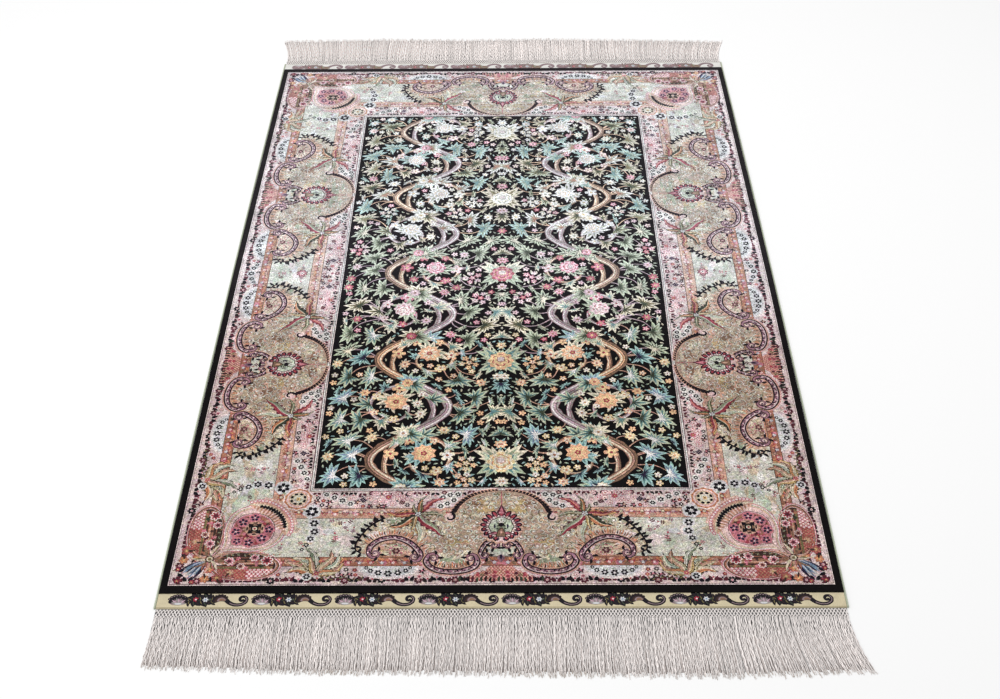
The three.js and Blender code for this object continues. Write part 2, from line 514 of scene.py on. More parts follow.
def flower_patch(half_width, depth, count):
    """A pale scalloped patch that hangs from a bar, with an arc of dark flowers."""
    def hung(a, share, drop):
        return half_width * share * math.cos(a) - 1j * depth * drop * math.sin(a)

    rim = np.array([hung(a, 1, 1) for a in np.linspace(0, math.pi, 19)])
    motif = [("ice", rim)] + scalloped(rim, 2.6, "petal pink", "ice")
    for k in range(count):
        a = math.pi * (k + 0.5) / count
        motif += placed(dark_flower(3.2 + 2.9 * math.sin(a) ** 2), hung(a, 0.76, 0.6), k)
        motif += leaf_at(hung(a, 0.5, 0.25), k, "sage", 5, 2, 0.4, 2)
    return motif


def under_cartouche():
    """What fills the outer border below half a cartouche."""
    inside = inside_outline([0 + 48j, 19 + 48j, 25 + 41j, 38 + 34j, 50 + 27j, 50 + 23j, 0 + 23j])
    motif = fish_scales(0, 23, 50, 48, 5.0, ("crimson", "salmon", "pale pink"), inside)
    for k, s in enumerate(np.arange(3.0, 64.0, 6.4)):
        leaf = ("moss", "wine", "ink", "night brown", "moss")[k % 5]
        motif += leaf_at(s + 19j, 1.1, leaf, 11.5 + 2.5 * math.sin(k * 2.3), 4.4, 0.6, 3)
        if k % 2:
            lobe = lobed(3.4, 5, 0.6, k) + s + (35 + 3 * math.sin(k)) * 1j
            motif.append((("crimson", "wine")[k % 4 // 2], lobe))
    motif += placed(flower(4.5, 6, "crimson", "moss", "rose"), 10 + 30j)
    motif += placed(sprig(12, "moss", "olive", "crimson"), 24 + 30j, 0.5)
    motif += placed(flower_patch(44, 23, 7), 168 + 49.5j)
    motif += placed(flower(5, 6, "rose", "wine", "petal pink"), 121 + 30j)
    motif += placed(flower(4, 6, "crimson", "gold", "rose"), 216 + 33j)
    return motif


def coral_cluster(x0, x1, y0, y1, count, rng):
    """A loose cluster of coral-edged blossoms."""
    motif = []
    for k in range(count):
        at = x0 + (x1 - x0) * (k + 0.5) / count + 1j * rng.uniform(y0, y1)
        bloom = flower(rng.uniform(4.2, 6.2), 5, "petal pink", "crimson", "rose")
        motif += placed(bloom, at, rng.uniform(0, 1))
    return motif


def over_cartouche(rng):
    """What fills the inner border above half a cartouche."""
    motif = []
    for k, at in enumerate((74 + 180j, 84 + 173j, 94 + 168j, 80 + 191j, 91 + 186j, 68 + 192j)):
        motif += placed(dark_flower(4.6, "white"), at, k)
    motif += coral_cluster(140, 208, 180, 197, 11, rng) + coral_cluster(150, 200, 172, 190, 7, rng)
    motif += placed(flower(5.5, 6, "crimson", "gold", "rose"), 176 + 188j)
    motif += placed(sprig(17, "wine", "navy", "wine", 3), 210 + 176j, 0.9)
    motif += placed(sprig(15, "moss", "wine", "navy", 3), 148 + 174j, 0.4)
    return motif


STROKE_DYES = ("terracotta", "salmon", "dark brown", "terracotta", "orange", "tan")


def cartouche(rng):
    """One border unit about s = 0: dome, scrolls, palmette, leaf crosses and garlands."""
    dome = smooth(DOME_LINE, 3)
    lower, outer = smooth(SCROLL_UNDER_DOME, 4), smooth(SCROLL_OUTER, 4)
    half = under_cartouche() + over_cartouche(rng)
    half += [("pale pink", band(offset(dome, 3), 6.5)), ("sand", CARTOUCHE), ("light sand", CARTOUCHE_WING),
             ("terracotta", band(offset(lower, 7, 6, -6), 9)), ("salmon", band(offset(lower, 11, 4, -4), 8)),
             ("salmon", band(offset(outer, 8, 3, -2), 9))]
    half += scrollwork(CARTOUCHE, 12.2, "ivory", "white", rng)

    # short strokes that rise from the scrolls
    for path in (lower, outer):
        for k, (at, angle) in enumerate(spaced(offset(path, 5.5, 4, -4), 3.4, 1)):
            half += leaf_at(at, angle + 1.4, STROKE_DYES[k % 6], 12 + 2.5 * math.sin(k * 2.1), 2.6, 0.2, 2)

    # the arch inside the outer scroll, with its little star
    half += nested(ARCH, ARCH_MIDDLE, (("salmon", 1), ("pink ground", 0.86)))
    half += scrollwork(ARCH_MIDDLE + (ARCH - ARCH_MIDDLE) * 0.9, 9.5, "cream", "rose", rng)
    star = dark_flower(6.5, None, "rose", "wine") + ring(sprig(11, "wine", "rose", "wine", 1), 6, 7, 0.5)
    half += placed(star, 158 + 79j)
    half.append(("orange", band([126 + 68.5j, 190 + 68.5j], 1.2)))

    # the pink scalloped rim that hangs below the lower scroll
    for at, _ in spaced(offset(lower, -6.4), 4.6, 1):
        half += [("rose", oval(2.7, 2.2, 6) + at), ("pale pink", oval(1.6, 1.3, 5) + at)]

    half += scroll_band(SCROLL_AT_FOOT, 10 + 89j, 24.5 + 70j, 5.0)
    half += scroll_band(SCROLL_OUTER, 129.5 + 67j, 189.5 + 74j, 7.0)
    half += scroll_band(SCROLL_UNDER_DOME, 45 + 64j, 101.5 + 65j, 7.0)

    half += scalloped_line(smooth(DOME_LINE, 4), 2.2, 5.4)
    half.append(("pale pink", oval(8.5, points=12) + HOOK_EYE))
    half.append(("ink", band(HOOK_EYE + curl(8.6, 1.9, 0.72, 12, 0.35), np.linspace(5.2, 2.0, 12))))
    half += garland(smooth(OUTER_GARLAND, 4), 10.5)
    half += placed(streaked_leaves(CROSS_LEAVES), 128 + 152j)
    half += placed(flower(6.0, 5, "ice", "taupe", "night brown"), 128 + 152j, 0.3)

    motif = mirrored(half)
    motif += [("crimson", band([166j, 198j], 1.4)), ("rose", band([170j, 196j], 0.6))]
    motif += placed(palmette(), 126j)
    for dye, *form in (("mauve", 16, 12, 0, 3), ("navy", 11, 5, 0, 2)):
        motif += leaf_at(72j, -math.pi / 2, dye, *form)
    return motif


def edge_sprigs(start, end, v, step, side, size=1.0):
    """The row of dark leaf sprays and ringed flowers along a border's edge."""
    motif = []
    for k, s in enumerate(np.arange(start, end, step)):
        at = s + 1j * (v + 1.6 * math.sin(k * 2.3))
        leaf = ("wine", "ink", "wine", "night brown", "ink", "wine")[k % 6]
        if k % 4 == 2:
            motif += placed(dark_flower(6.8 * size, None, "rose", leaf, 7), at + 3j * side, k)
            continue
        for out, turn, bend in ((1, 0.1, 0.9), (-1, 3.04, -0.9), (0.5, 0.8, 0.2), (-0.5, 2.4, -0.2)):
            long = size * (10.2 + 2.4 * math.sin(k * 2.9 + turn * 5))
            motif += leaf_at(at + out, side * turn, leaf, long, 5.4 * size, bend * side, 2)
        motif.append((("crimson", "rose", "navy")[k % 3], oval(1.9, points=5) + at + 6.2j * side))
    return motif


# Each bar's florets as (petal, leaf), and the dyes of the patches beneath them.
OUTER_FLORETS = [("pale pink", "crimson"), ("salmon", "dark brown"), ("ice", "mauve"), ("orange", "crimson")]
OUTER_DYES = ("salmon", "orange", "terracotta", "tan", "salmon", "orange", "rose")
INNER_FLORETS = [("petal pink", "rose"), ("cream", "dark brown"), ("salmon", "crimson"),
                 ("pale pink", "mauve")]
INNER_DYES = ("salmon", "pale pink", "terracotta", "salmon", "pale pink", "orange", "sand pink")


def bar_florets(start, end, v, step, florets, dyes):
    """Small florets and leaf pairs along a coloured bar, over soft patches of near dyes."""
    motif = []
    for k, s in enumerate(np.arange(start, end, 8.0)):
        blot = patch(6 + 2.5 * math.sin(k * 1.9), 5.4, 0.75, k)
        motif.append((dyes[(k * 5) % 7], blot + s + 1j * (v + 3.0 * math.sin(k * 2.7))))
    for k, s in enumerate(np.arange(start, end, step)):
        way = 1 if k % 2 else -1
        at = s + 1j * (v + 2.4 * way)
        petal, leaf = florets[k % 4]
        motif += [(leaf, lobed(4.0, 5, 0.6, k) + at), (petal, lobed(2.9, 5, 0.5, k) + at)]
        motif += leaf_at(at + 2.6, -0.7 * way, leaf, 6.4, 2.2, 0.5, 2)
        motif += leaf_at(at - 2.6, math.pi + 0.6 * way, leaf, 5.6, 2.0, -0.5, 2)
    return motif


def border_rows(length):
    """The rows that fill the bars and the borders' edges along one side of the quarter."""
    motif = edge_sprigs(24, length, 20.5, 13.6, 1)
    motif += edge_sprigs(212, length, 197.5, 14.2, -1, 0.72)
    motif += bar_florets(70, length, 58.5, 8.4, OUTER_FLORETS, OUTER_DYES)
    motif += bar_florets(180, length, 154.5, 8.0, INNER_FLORETS, INNER_DYES)
    return motif


def side_middle():
    """The rosette and sprays half-way along the long sides, between two cartouches."""
    motif = placed(flower(11, 8, "rose", "mauve", "wine"), 128j)
    motif += placed(flower(6, 6, "petal pink", "navy", "crimson"), 128j, 0.4)
    for side in (1, -1):
        motif += placed(sprig(15, "wine", "mauve", "rose"), 9 * side + 128j, 0 if side > 0 else math.pi)
        motif += placed(dark_flower(5, "ice"), 16 * side + 36j)
        motif += placed(dark_flower(4, "ice"), 26 * side + 41j)
        motif += placed(flower(5, 6, "crimson", "gold", "rose"), 22 * side + 182j)
    motif += placed(sprig(15, "wine", "rose", "crimson"), 100j, -1.57)
    motif += placed(dark_flower(6, "ice"), 33j)
    motif += placed(flower(6, 7, "rose", "wine", "petal pink"), 184j)
    return motif


DIAGONAL = math.pi / 4


def ring_rosette():
    """The orange ring with a cream eye and black petals, on the corner's diagonal."""
    motif = [("petal pink", lobed(25, 10, 0.9)), ("orange", lobed(22.5, 10, 0.9)),
             ("pale pink", oval(18.5, points=16))]
    motif += [("terracotta", oval(1.7, points=5) + polar(19.8, TAU * k / 16)) for k in range(16)]
    motif += [("salmon", oval(15.5, points=16)), ("cream", oval(13.5, points=16))]
    motif += ring([("ink", oval(2.5, 3.4, 6))], 8, 10.6, TAU / 16)
    motif += [("ivory", oval(7.6, points=10)), ("gold", spiky(5.4, 6, 0.5)), ("ink", oval(1.5, points=5))]
    return motif


def across_diagonal(points):
    """A closed outline from its half on one side of the diagonal."""
    side = smooth(points, 3)
    return np.concatenate([side, (1j * np.conj(side))[::-1][1:-1]])


# The corner heart's rim and the crimson ground inside it, from the inner arc to the point.
HEART = across_diagonal([177 + 177j, 172 + 151j, 172 + 124j, 165 + 101j, 148 + 85j, 122 + 79j, 98 + 81j,
                         80 + 78j, 66 + 66j])
INNER_HEART = across_diagonal([144 + 144j, 152 + 131j, 153 + 114j, 146 + 99j, 131 + 91j, 110 + 91j,
                               95 + 93j, 86 + 86j])
HEART_RIMS = [("rose", 1.04), ("petal pink", 1.01), ("dark brown", 0.965), ("cream", 0.955),
              ("salmon", 0.92), ("pale pink", 0.89)]
GROUND_RIMS = [("dark brown", 1.07), ("pale pink", 1.04), ("rose", 1.0), ("terracotta", 0.93)]
GROUND_DYES = ["rose", "crimson", "terracotta", "rose", "wine", "salmon", "crimson", "dark brown"]


def star_in_heart():
    """The small dark four-petalled flower at the heart's middle."""
    motif = [("salmon", oval(15, points=10)), ("ink", spiky(14.5, 4, 0.62, DIAGONAL)),
             ("tan", spiky(10.5, 4, 0.66)), ("ink", spiky(8.6, 4, 0.66, DIAGONAL)),
             ("cream", oval(3.8, points=8)), ("crimson", oval(2.0, points=6))]
    return motif + ring([("ink", 1j * box(-3.2, -1.2, 3.2, 1.2))], 4, 11.5)


def heart_comb():
    """Radiating strokes and the comb of black petals on the heart's side to the field."""
    sweep = np.linspace(-0.82, 0.82, 17)
    rays = np.exp(1j * (DIAGONAL + sweep))
    crescent = np.cos(sweep / 0.82 * math.pi / 2)
    motif = [(dye, band(60 * rays, width * crescent**0.7)) for dye, width in (("rose", 33), ("cream", 31),
                                                                              ("salmon", 28))]
    for k in range(-12, 13):
        a = DIAGONAL + k * 0.056
        reach = 15 * math.cos(k / 13 * math.pi / 2) ** 0.6
        shade = "pale pink" if k % 2 else "terracotta"
        motif.append((shade, band([polar(58 - reach, a), polar(59, a)], 1.3)))
    motif.append(("cream", band(62 * rays, 8 * crescent**0.7)))
    for k in range(-6, 7):
        a = DIAGONAL + k * 0.085
        motif += leaf_at(polar(56, a), a - 0.5, "ink", 11 - 0.1 * k * k, 6.2, 0.5, 3, 0.55)
    rim = (73 - 8 * (sweep / 0.82) ** 4) * rays
    motif += scalloped(rim, 3.8, "rose", "petal pink")
    return motif + scalloped(rim[3:-3] * 1.07, 3.4, "salmon", "pale pink")


def heart(rng):
    """The corner heart: rims, comb, a mottled ground with dark flowers, and its star."""
    middle = 120 + 120j
    motif = nested(HEART, 122 + 122j, HEART_RIMS) + placed(heart_comb(), 112 + 112j)
    motif += nested(INNER_HEART, middle, GROUND_RIMS)
    inside = inside_outline(middle + (INNER_HEART - middle) * 0.9)
    for _ in range(230):
        at = middle + rng.uniform(-36, 32) + 1j * rng.uniform(-36, 32)
        if inside(at):
            shade = rng.choice(GROUND_DYES)
            motif.append((shade, lobed(rng.uniform(1.8, 4.2), 4, 0.6, rng.uniform(0, 2)) + at))
    for x, y, radius in ((137, 105, 5.6), (146, 122, 5.2), (118, 96, 5.2), (99, 100, 4.6)):
        for at in (x + 1j * y, y + 1j * x):
            motif += placed(dark_flower(radius * 1.3, "rose", "ice", "navy", 5), at, rng.uniform(0, 1))
    return motif + placed(star_in_heart(), 124 + 124j)


LOOP = smooth([66 + 64j, 84 + 76j, 112 + 80j, 142 + 76j, 164 + 64j, 172 + 50j, 162 + 34j, 140 + 25j,
               108 + 23j, 82 + 29j, 66 + 44j, 62 + 58j], 3)
LOOP_MIDDLE = 116 + 52j
LOOP_RIMS = [("rose", 1.02), ("pale pink", 0.985), ("dark brown", 0.955), ("terracotta", 0.93),
             ("pale pink", 0.88), ("dark brown", 0.86)]
# Stripes under the loop's roses: colour, lower and upper edge.
LOOP_STRIPES = [("olive", 45.5, 49), ("terracotta", 49, 67), ("dark brown", 50, 53), ("salmon", 55, 57),
                ("tan", 58, 60), ("dark brown", 62, 66)]
LOOP_PATCH_DYES = ["dark brown", "wine", "terracotta", "crimson", "moss", "rose"]
# The loop's roses: x, y, radius and petal colour.
LOOP_ROSES = [(150, 61, 10, "crimson"), (131, 67, 8, "rose"), (94, 60, 8.5, "rose"),
              (112, 50, 6.5, "terracotta")]


def corner_arm(rng):
    """The long loop that runs from the corner along the end, with roses and a scaled back."""
    motif = nested(LOOP, LOOP_MIDDLE, LOOP_RIMS)
    inside = inside_outline(motif[-1][1])
    motif += fish_scales(66, 24, 124, 44, 5.6, ("crimson", "terracotta", "salmon"), inside)
    motif += fish_scales(124, 24, 168, 43, 6.2, ("crimson", "pale pink", "petal pink"), inside)
    motif += [(colour, box(72, low, 160, high)) for colour, low, high in LOOP_STRIPES]
    for k in range(26):
        shade = rng.choice(LOOP_PATCH_DYES)
        blot = lobed(rng.uniform(2, 4), 5, 0.6, k)
        motif.append((shade, blot + rng.uniform(76, 158) + 1j * rng.uniform(46, 66)))
    for x, y, radius, petal in LOOP_ROSES:
        motif += placed(flower(radius, 7, petal, "pale pink", "petal pink"), x + 1j * y, rng.uniform(0, 2))
        motif.append(("wine", lobed(radius * 0.42, 5, 0.6) + x + 1j * y))
    for x in range(78, 166, 9):
        motif += placed(sprig(9, "olive", "sage", "orange", 1), x + 70j, rng.uniform(0.2, 1.2))
    return motif


# Blossoms at the very corner: x, y, radius, rim and petal.
KNOT_BLOSSOMS = [(28, 80, 9, "crimson", "terracotta"), (26, 62, 8, "terracotta", "orange"),
                 (20, 44, 5, "wine", "crimson"), (38, 98, 7, "terracotta", "salmon"),
                 (44, 66, 8, "crimson", "orange"), (22, 22, 5, "wine", "crimson")]
STRAND_DYES = ("cream", "terracotta", "tan", "olive", "salmon", "pale pink")


def corner_knot(rng):
    """The spray at the very corner: gold strands, blue strokes and red blossoms."""
    knot = 64 + 64j
    motif = []
    for x, y, radius, rim, petal in KNOT_BLOSSOMS:
        for at in {x + 1j * y, y + 1j * x}:
            motif += placed(flower(radius, 6, petal, "gold", rim), at, rng.uniform(0, 1))
            motif += leaf_at(at, rng.uniform(0, TAU), "dark brown", radius * 1.6, radius * 0.5, 0.4, 2)
    for k in range(13):
        shade = ("navy", "steel blue", "ice", "steel blue")[k % 4]
        turn = math.radians(190 + 70 * k / 12)
        motif += leaf_at(60 + 60j, turn, shade, 43 - 6 * (k % 3), 5.4, 0.3 - 0.05 * k, 3)
    for k in range(17):
        reach = (34, 25, 30, 22)[k % 4]
        bend = 0.5 if k % 2 else -0.5
        motif += leaf_at(knot, math.radians(-160 + 21 * k), STRAND_DYES[k % 6], reach, 4.0, bend, 3)
    return motif + [("dark brown", lobed(7.5, 7, 0.7) + knot), ("cream", oval(5, points=9) + knot),
                    ("olive", oval(2.8, points=7) + knot)]


# Flowers that run from the corner both ways: x, y and size; each is mirrored at the diagonal.
CORNER_FLOWERS = [(208, 158, 10), (214, 134, 6.8), (216, 117, 6.4), (211, 103, 5.4), (206, 91, 4.4),
                  (200, 82, 3.4)]
FIELD_SIDE_FLOWERS = [(227, 193, 4.2), (240, 187, 4.8), (253, 181, 5.0), (266, 174, 4.4)]

# Leaves that rise from the edge beside each corner, in the same columns as the crosses'.
SPRAY_LEAVES = [
    (166, 54, 15, -0.35, "olive", "cream", "salmon", "tan"),
    (146, 48, 15, 0.45, "dark brown", "orange", "cream", "light sand"),
    (60, 54, 14, -0.40, "dark brown", "salmon", "gold", "cream"),
    (94, 60, 13, 0.25, "moss", "sage", "ivory", "moss"),
    (118, 54, 14, 0.35, "olive", "light sand", "cream", "sage"),
    (40, 52, 14, 0.45, "dark brown", "tan", "salmon", "cream"),
    (20, 52, 14, 0.50, "moss", "pale green", "cream", "white"),
    (2, 48, 13, 0.50, "dark brown", "salmon", "gold", "cream"),
    (76, 44, 11, -0.40, "olive", "light sand", "salmon", "cream"),
    (106, 40, 10, 0.40, "moss", "pale green", "sage", "white"),
    (130, 38, 11, -0.40, "dark brown", "gold", "salmon", "cream"),
    (30, 36, 11, -0.40, "olive", "orange", "cream", "sage"),
]


def leaf_spray():
    """The olive and orange leaves that rise from the edge beside each corner."""
    motif = streaked_leaves(SPRAY_LEAVES)
    runner = smooth([2 - 1j, 18 - 7j, 38 - 4j, 56 - 9j, 72 - 6j], 4)
    motif.append(("moss", band(runner, 1.1)))
    for k, (at, angle) in enumerate(spaced(runner, 7, 5)):
        motif += leaf_at(at, angle + (0.8 if k % 2 else -0.8), "olive", 6.5, 2.6, 0.4, 2)
    motif += placed(dark_flower(5.5, "ice"), -14 - 3j)
    return motif + placed(flower(4.6, 5, "crimson", "gold", "rose"), 3j)


def corner(rng):
    """Everything in the corner square, symmetric about its diagonal but for the random turns."""
    half = corner_arm(rng) + placed(leaf_spray(), 226 + 33j)
    half += placed(sprig(15, "wine", "rose", "crimson"), 250 + 99j, 1.75)
    half += placed(sprig(13, "wine", "mauve", "mauve"), 236 + 138j, 0.3)
    for x, y, size in CORNER_FLOWERS:
        half += placed(dark_flower(size, "ice" if size > 5 else None), x + 1j * y, 0.3 * size)
        half += leaf_at(x - 10 + 1j * y, 2.0, "sage", size, size * 0.4, 0.4, 2)
    for x, y, size in FIELD_SIDE_FLOWERS:
        half += placed(dark_flower(size, "white"), x + 1j * y, x)
    return half + swapped(half) + corner_knot(rng) + heart(rng) + placed(ring_rosette(), 184 + 184j)


def winding(shape, px, py):
    """How many times a closed outline goes round each point."""
    a = np.asarray(shape)[:, None]
    b = np.roll(np.asarray(shape), -1)[:, None]
    left = (b.real - a.real) * (py - a.imag) - (px - a.real) * (b.imag - a.imag)
    up = (a.imag <= py) & (b.imag > py) & (left > 0)
    down = (a.imag > py) & (b.imag <= py) & (left < 0)
    return up.sum(0) - down.sum(0)


class Room:
    """Keeps count of where a chart is already covered, on a coarse grid."""

    STEP = 2.0

    def __init__(self, width, height):
        self.used = np.zeros((int(height / self.STEP) + 2, int(width / self.STEP) + 2), bool)

    def cover(self, shape):
        step = self.STEP
        x0, x1 = max(shape.real.min(), 0), min(shape.real.max(), (self.used.shape[1] - 2) * step)
        y0, y1 = max(shape.imag.min(), 0), min(shape.imag.max(), (self.used.shape[0] - 2) * step)
        if x1 < x0 or y1 < y0:
            return
        xs = np.arange(int(x0 / step), int(x1 / step) + 1)
        ys = np.arange(int(y0 / step), int(y1 / step) + 1)
        px, py = np.meshgrid((xs + 0.5) * step, (ys + 0.5) * step)
        hit = winding(shape, px.ravel(), py.ravel()).reshape(px.shape) != 0
        self.used[ys[0]:ys[-1] + 1, xs[0]:xs[-1] + 1] |= hit

    def reach(self, at, radius):
        """The cells that a round place touches: first and past-last column and row."""
        return [int((middle + out) / self.STEP) + extra for middle in (at.real, at.imag)
                for out, extra in ((-radius, 0), (radius, 1))]

    def free(self, at, radius):
        """Whether a square place lies on the chart and is bare."""
        x0, x1, y0, y1 = self.reach(at, radius)
        if x0 < 0 or y0 < 0 or x1 > self.used.shape[1] or y1 > self.used.shape[0]:
            return False
        return not self.used[y0:y1, x0:x1].any()

    def clear(self, at, radius):
        """Whether a round place, which may hang over the chart's edge, is bare."""
        step = self.STEP
        height, width = self.used.shape
        for out in (0, radius * 0.8, radius * 0.8j, -radius * 0.8, -radius * 0.8j):
            j, i = int((at + out).imag / step), int((at + out).real / step)
            if 0 <= j < height and 0 <= i < width and self.used[j, i]:
                return False
        x0, x1, y0, y1 = self.reach(at, radius)
        xs, ys = np.arange(max(x0, 0), min(x1, width)), np.arange(max(y0, 0), min(y1, height))
        px, py = np.meshgrid((xs + 0.5) * step - at.real, (ys + 0.5) * step - at.imag)
        near = self.used[ys[0]:ys[-1] + 1, xs[0]:xs[-1] + 1]
        return not near[np.hypot(px, py) < radius].any()


def leaf_tuft(leaf, back, bud):
    """Five short dark leaves that spread from one bud."""
    motif = []
    for k, long in enumerate((5.0, 6.6, 7.6, 6.6, 5.0)):
        motif += leaf_at(0, 0.85 * (k - 2), back if k % 2 else leaf, long, 3.4, 0.25 * (k - 2), 3, 0.6)
    return motif + [(bud, oval(1.8, points=6))]


def border_ground_fill(room, rng):
    """Leaf tufts and small flowers wherever the narrow borders are still bare."""
    motif = []
    kinds = [leaf_tuft("ink", "wine", "rose"), leaf_tuft("wine", "night brown", "salmon"), dark_flower(4.2),
             flower(4.4, 5, "petal pink", "crimson", "rose"), flower(4.0, 5, "crimson", "gold", "wine"),
             flower(4.4, 5, "pale pink", "rose", "wine")]
    for y in np.arange(18, SIDE_HALF, 4.0):
        for x in np.arange(18, END_HALF, 4.0):
            at = x + 1j * y + rng.uniform(-1.5, 1.5) + 1j * rng.uniform(-1.5, 1.5)
            v = min(at.real, at.imag)
            narrow = 20 < v < 46 or 168 < v < 196
            if narrow and at.real <= END_HALF and room.free(at, 3.6):
                motif += placed(rng.choice(kinds), at, rng.uniform(0, TAU))
                room.cover(oval(4.5) + at)
    return motif


MOTTLE_DYES = ["pale green", "white", "light sand", "cream", "petal pink", "ice", "pale green", "ivory"]


def ivory_mottle(rng):
    """Faint uneven patches and a few twigs in the ivory middle of the border."""
    motif = []
    for _ in range(230):
        along, v = rng.uniform(70, SIDE_HALF), rng.uniform(76, 135)
        reach = rng.uniform(5, 13)
        at = along + 1j * v
        spot = [(rng.choice(MOTTLE_DYES), patch(reach * 1.4, min(reach, 7), 0.7, along) + at)]
        motif += swapped(spot) if rng.random() < 0.6 else spot
        if rng.random() < 0.34:
            leaf = rng.choice(["rose", "wine", "mauve"])
            twig = placed(sprig(12, "wine", leaf, "crimson", 2, 0.4), at, reach)
            motif += swapped(twig) if rng.random() < 0.6 else twig
    return motif


def border_quarter(rng):
    """The whole border of one quarter, in painting order."""
    lines = [(colour, box(dx, dy, END_HALF + 5, SIDE_HALF + 5)) for colour, dx, dy in FRAME_LINES]
    lines += ivory_mottle(rng)
    rows = border_rows(END_HALF) + swapped(border_rows(SIDE_HALF))
    figures = placed(cartouche(rng), END_HALF)
    figures += swapped(placed(cartouche(rng), UNIT_MIDDLE) + placed(side_middle(), SIDE_HALF))
    figures += corner(rng)
    room = Room(END_HALF, SIDE_HALF)
    for _, shape in rows + figures:
        room.cover(shape)
    return lines + rows + border_ground_fill(room, rng) + figures


# The field is drawn as half of its width: a point is u + w * 1j, with u out from the rug's
# centre line and w from the field's near end to its far end. The other half mirrors it.
FIELD_HALF = END_HALF - BORDER - 1.0
FIELD_LENGTH = 2 * (SIDE_HALF - BORDER)
WAVES = 9
WAVE_LENGTH = FIELD_LENGTH / WAVES
STEM_MIDDLE = 150.0
STEM_SWAY = 62.0
SPIRAL_OFFSET = 27.0
SPIRAL_RADIUS = 72.0

# Dyes of the leaves (outer, inner, vein) and of the petals (rim, fill, heart) in the near,
# middle and far zones, and of the stems (edge, bark, light, gleam).
ZONE_LEAVES = [
    [("bright teal", "teal", "navy"), ("bright sage", "teal", "moss"), ("bright cream", "sage", "teal"),
     ("bright sage", "teal", "snow"), ("bright teal", "steel blue", "snow")],
    [("bright sage", "sage", "moss"), ("bright cream", "olive", "moss"),
     ("bright sage", "moss", "bright cream"), ("bright cream", "pale green", "teal")],
    [("cream", "sage", "olive"), ("bright sage", "olive", "moss"), ("snow", "sage", "terracotta"),
     ("cream", "olive", "moss"), ("bright teal", "sage", "teal")],
]
PETALS = [
    [("peach", "pale gold", "crimson"), ("pale gold", "bright cream", "orange"),
     ("peach", "bright cream", "crimson"), ("bright cream", "snow", "terracotta")],
    [("hot rose", "bright pink", "crimson"), ("bright pink", "petal pink", "crimson"),
     ("crimson", "hot rose", "gold"), ("light mauve", "bright pink", "wine")],
    [("snow", "bright cream", "gold"), ("ice", "snow", "gold"), ("bright pink", "bright cream", "crimson"),
     ("bright cream", "snow", "sage"), ("hot rose", "bright pink", "wine")],
]
STEM_TONES = [("night brown", "tan", "salmon", "bright cream"), ("wine", "grey", "light mauve", "snow"),
              ("dark brown", "tan", "peach", "bright cream")]


def zone_at(w, rng):
    """Which of the three colour zones a place falls in, with soft borders between them."""
    share = w / FIELD_LENGTH + rng.gauss(0, 0.035)
    return 0 if share < 0.31 else 1 if share < 0.63 else 2


def leaf_fan(size, tones, leaves=7, spread=2.9):
    """A cluster of leaves that fan out along x, palest at the tips, streaked from the root."""
    motif = []
    for dye, reach, fat in zip(tones, (1.0, 0.78, 0.5), (0.3, 0.15, 0.09)):
        for k in range(leaves + 1):
            share = (k + 0.5) / (leaves + 1) * 2 - 1
            long = size * (1 - 0.22 * abs(share) ** 1.5) * (0.86 + 0.24 * math.sin(5 * k + size))
            motif += leaf_at(0, share * spread / 2, dye, long * reach, long * fat, 0.6 * share, 3)
    return motif


def star_flower(radius, tones, petals):
    """A flower of separate pointed petals round a dark heart."""
    rim, fill, dark = tones
    petal = [(rim, blade(radius, radius * 0.62, 0, 3, 0.55)),
             (fill, blade(radius * 0.7, radius * 0.3, 0, 2, 0.55))]
    eye = [(dark, lobed(radius * 0.27, 5, 0.7)), ("gold", oval(radius * 0.11, points=5))]
    return ring(petal, petals) + eye


def blossom(radius, tones, turn):
    """A small round flower with a paler inside and a dark eye."""
    rim, fill, eye = tones
    return [(rim, lobed(radius, 5, 0.48, turn)), (fill, lobed(radius * 0.66, 5, 0.5, turn)),
            (eye, oval(radius * 0.24, points=5))]


def peony(radius, tones, turn):
    """A full flower of ruffled petals, its layers crowded to one side."""
    rim, fill, eye = tones
    motif = []
    for share, lobes, dye in ((1.0, 9, rim), (0.88, 9, fill), (0.7, 7, eye), (0.64, 7, rim), (0.54, 6, fill),
                              (0.36, 5, eye), (0.3, 5, "petal pink")):
        aside = polar(radius * (1 - share) * 0.25, turn)
        motif.append((dye, lobed(radius * share, lobes, 0.8, turn + share * 3) + aside))
    return motif


def bloom_cluster(radius, petals, leaf, rng):
    """A loose bunch of small blossoms with leaves between them."""
    motif = []
    count = 6
    for k in range(count + 2):
        a = TAU * k / (count + 2) + rng.uniform(-0.2, 0.2)
        pair = [(leaf[0], blade(radius * 0.62, radius * 0.22, 0.4, 2)),
                (leaf[1], blade(radius * 0.4, radius * 0.09, 0.4, 2))]
        motif += placed(pair, polar(radius * 0.45, a), a + rng.uniform(-0.5, 0.5))
    for k in range(count):
        at = polar(radius * (0.62 if k else 0.0), TAU * k / (count - 1) + 0.4)
        motif += placed(blossom(radius * rng.uniform(0.27, 0.34), rng.choice(petals), rng.uniform(0, 2)), at)
    return motif


def vine(path, width, tones):
    """A branch with a dark edge, streaked lengthwise with lighter and darker bark."""
    edge, bark, light, gleam = tones
    taper = np.broadcast_to(width, (len(path),))
    knotty = taper * (1 + 0.2 * np.sin(np.arange(len(path)) * 2.4))
    streaks = ((light, 0.12, 0.6), (gleam, 0.24, 0.16), (edge, -0.2, 0.08), (bark, 0.06, 0.1))
    return ([(edge, band(path, knotty + 1.8)), (bark, band(path, knotty))]
            + [(dye, band(offset(path, taper * aside), taper * share)) for dye, aside, share in streaks])


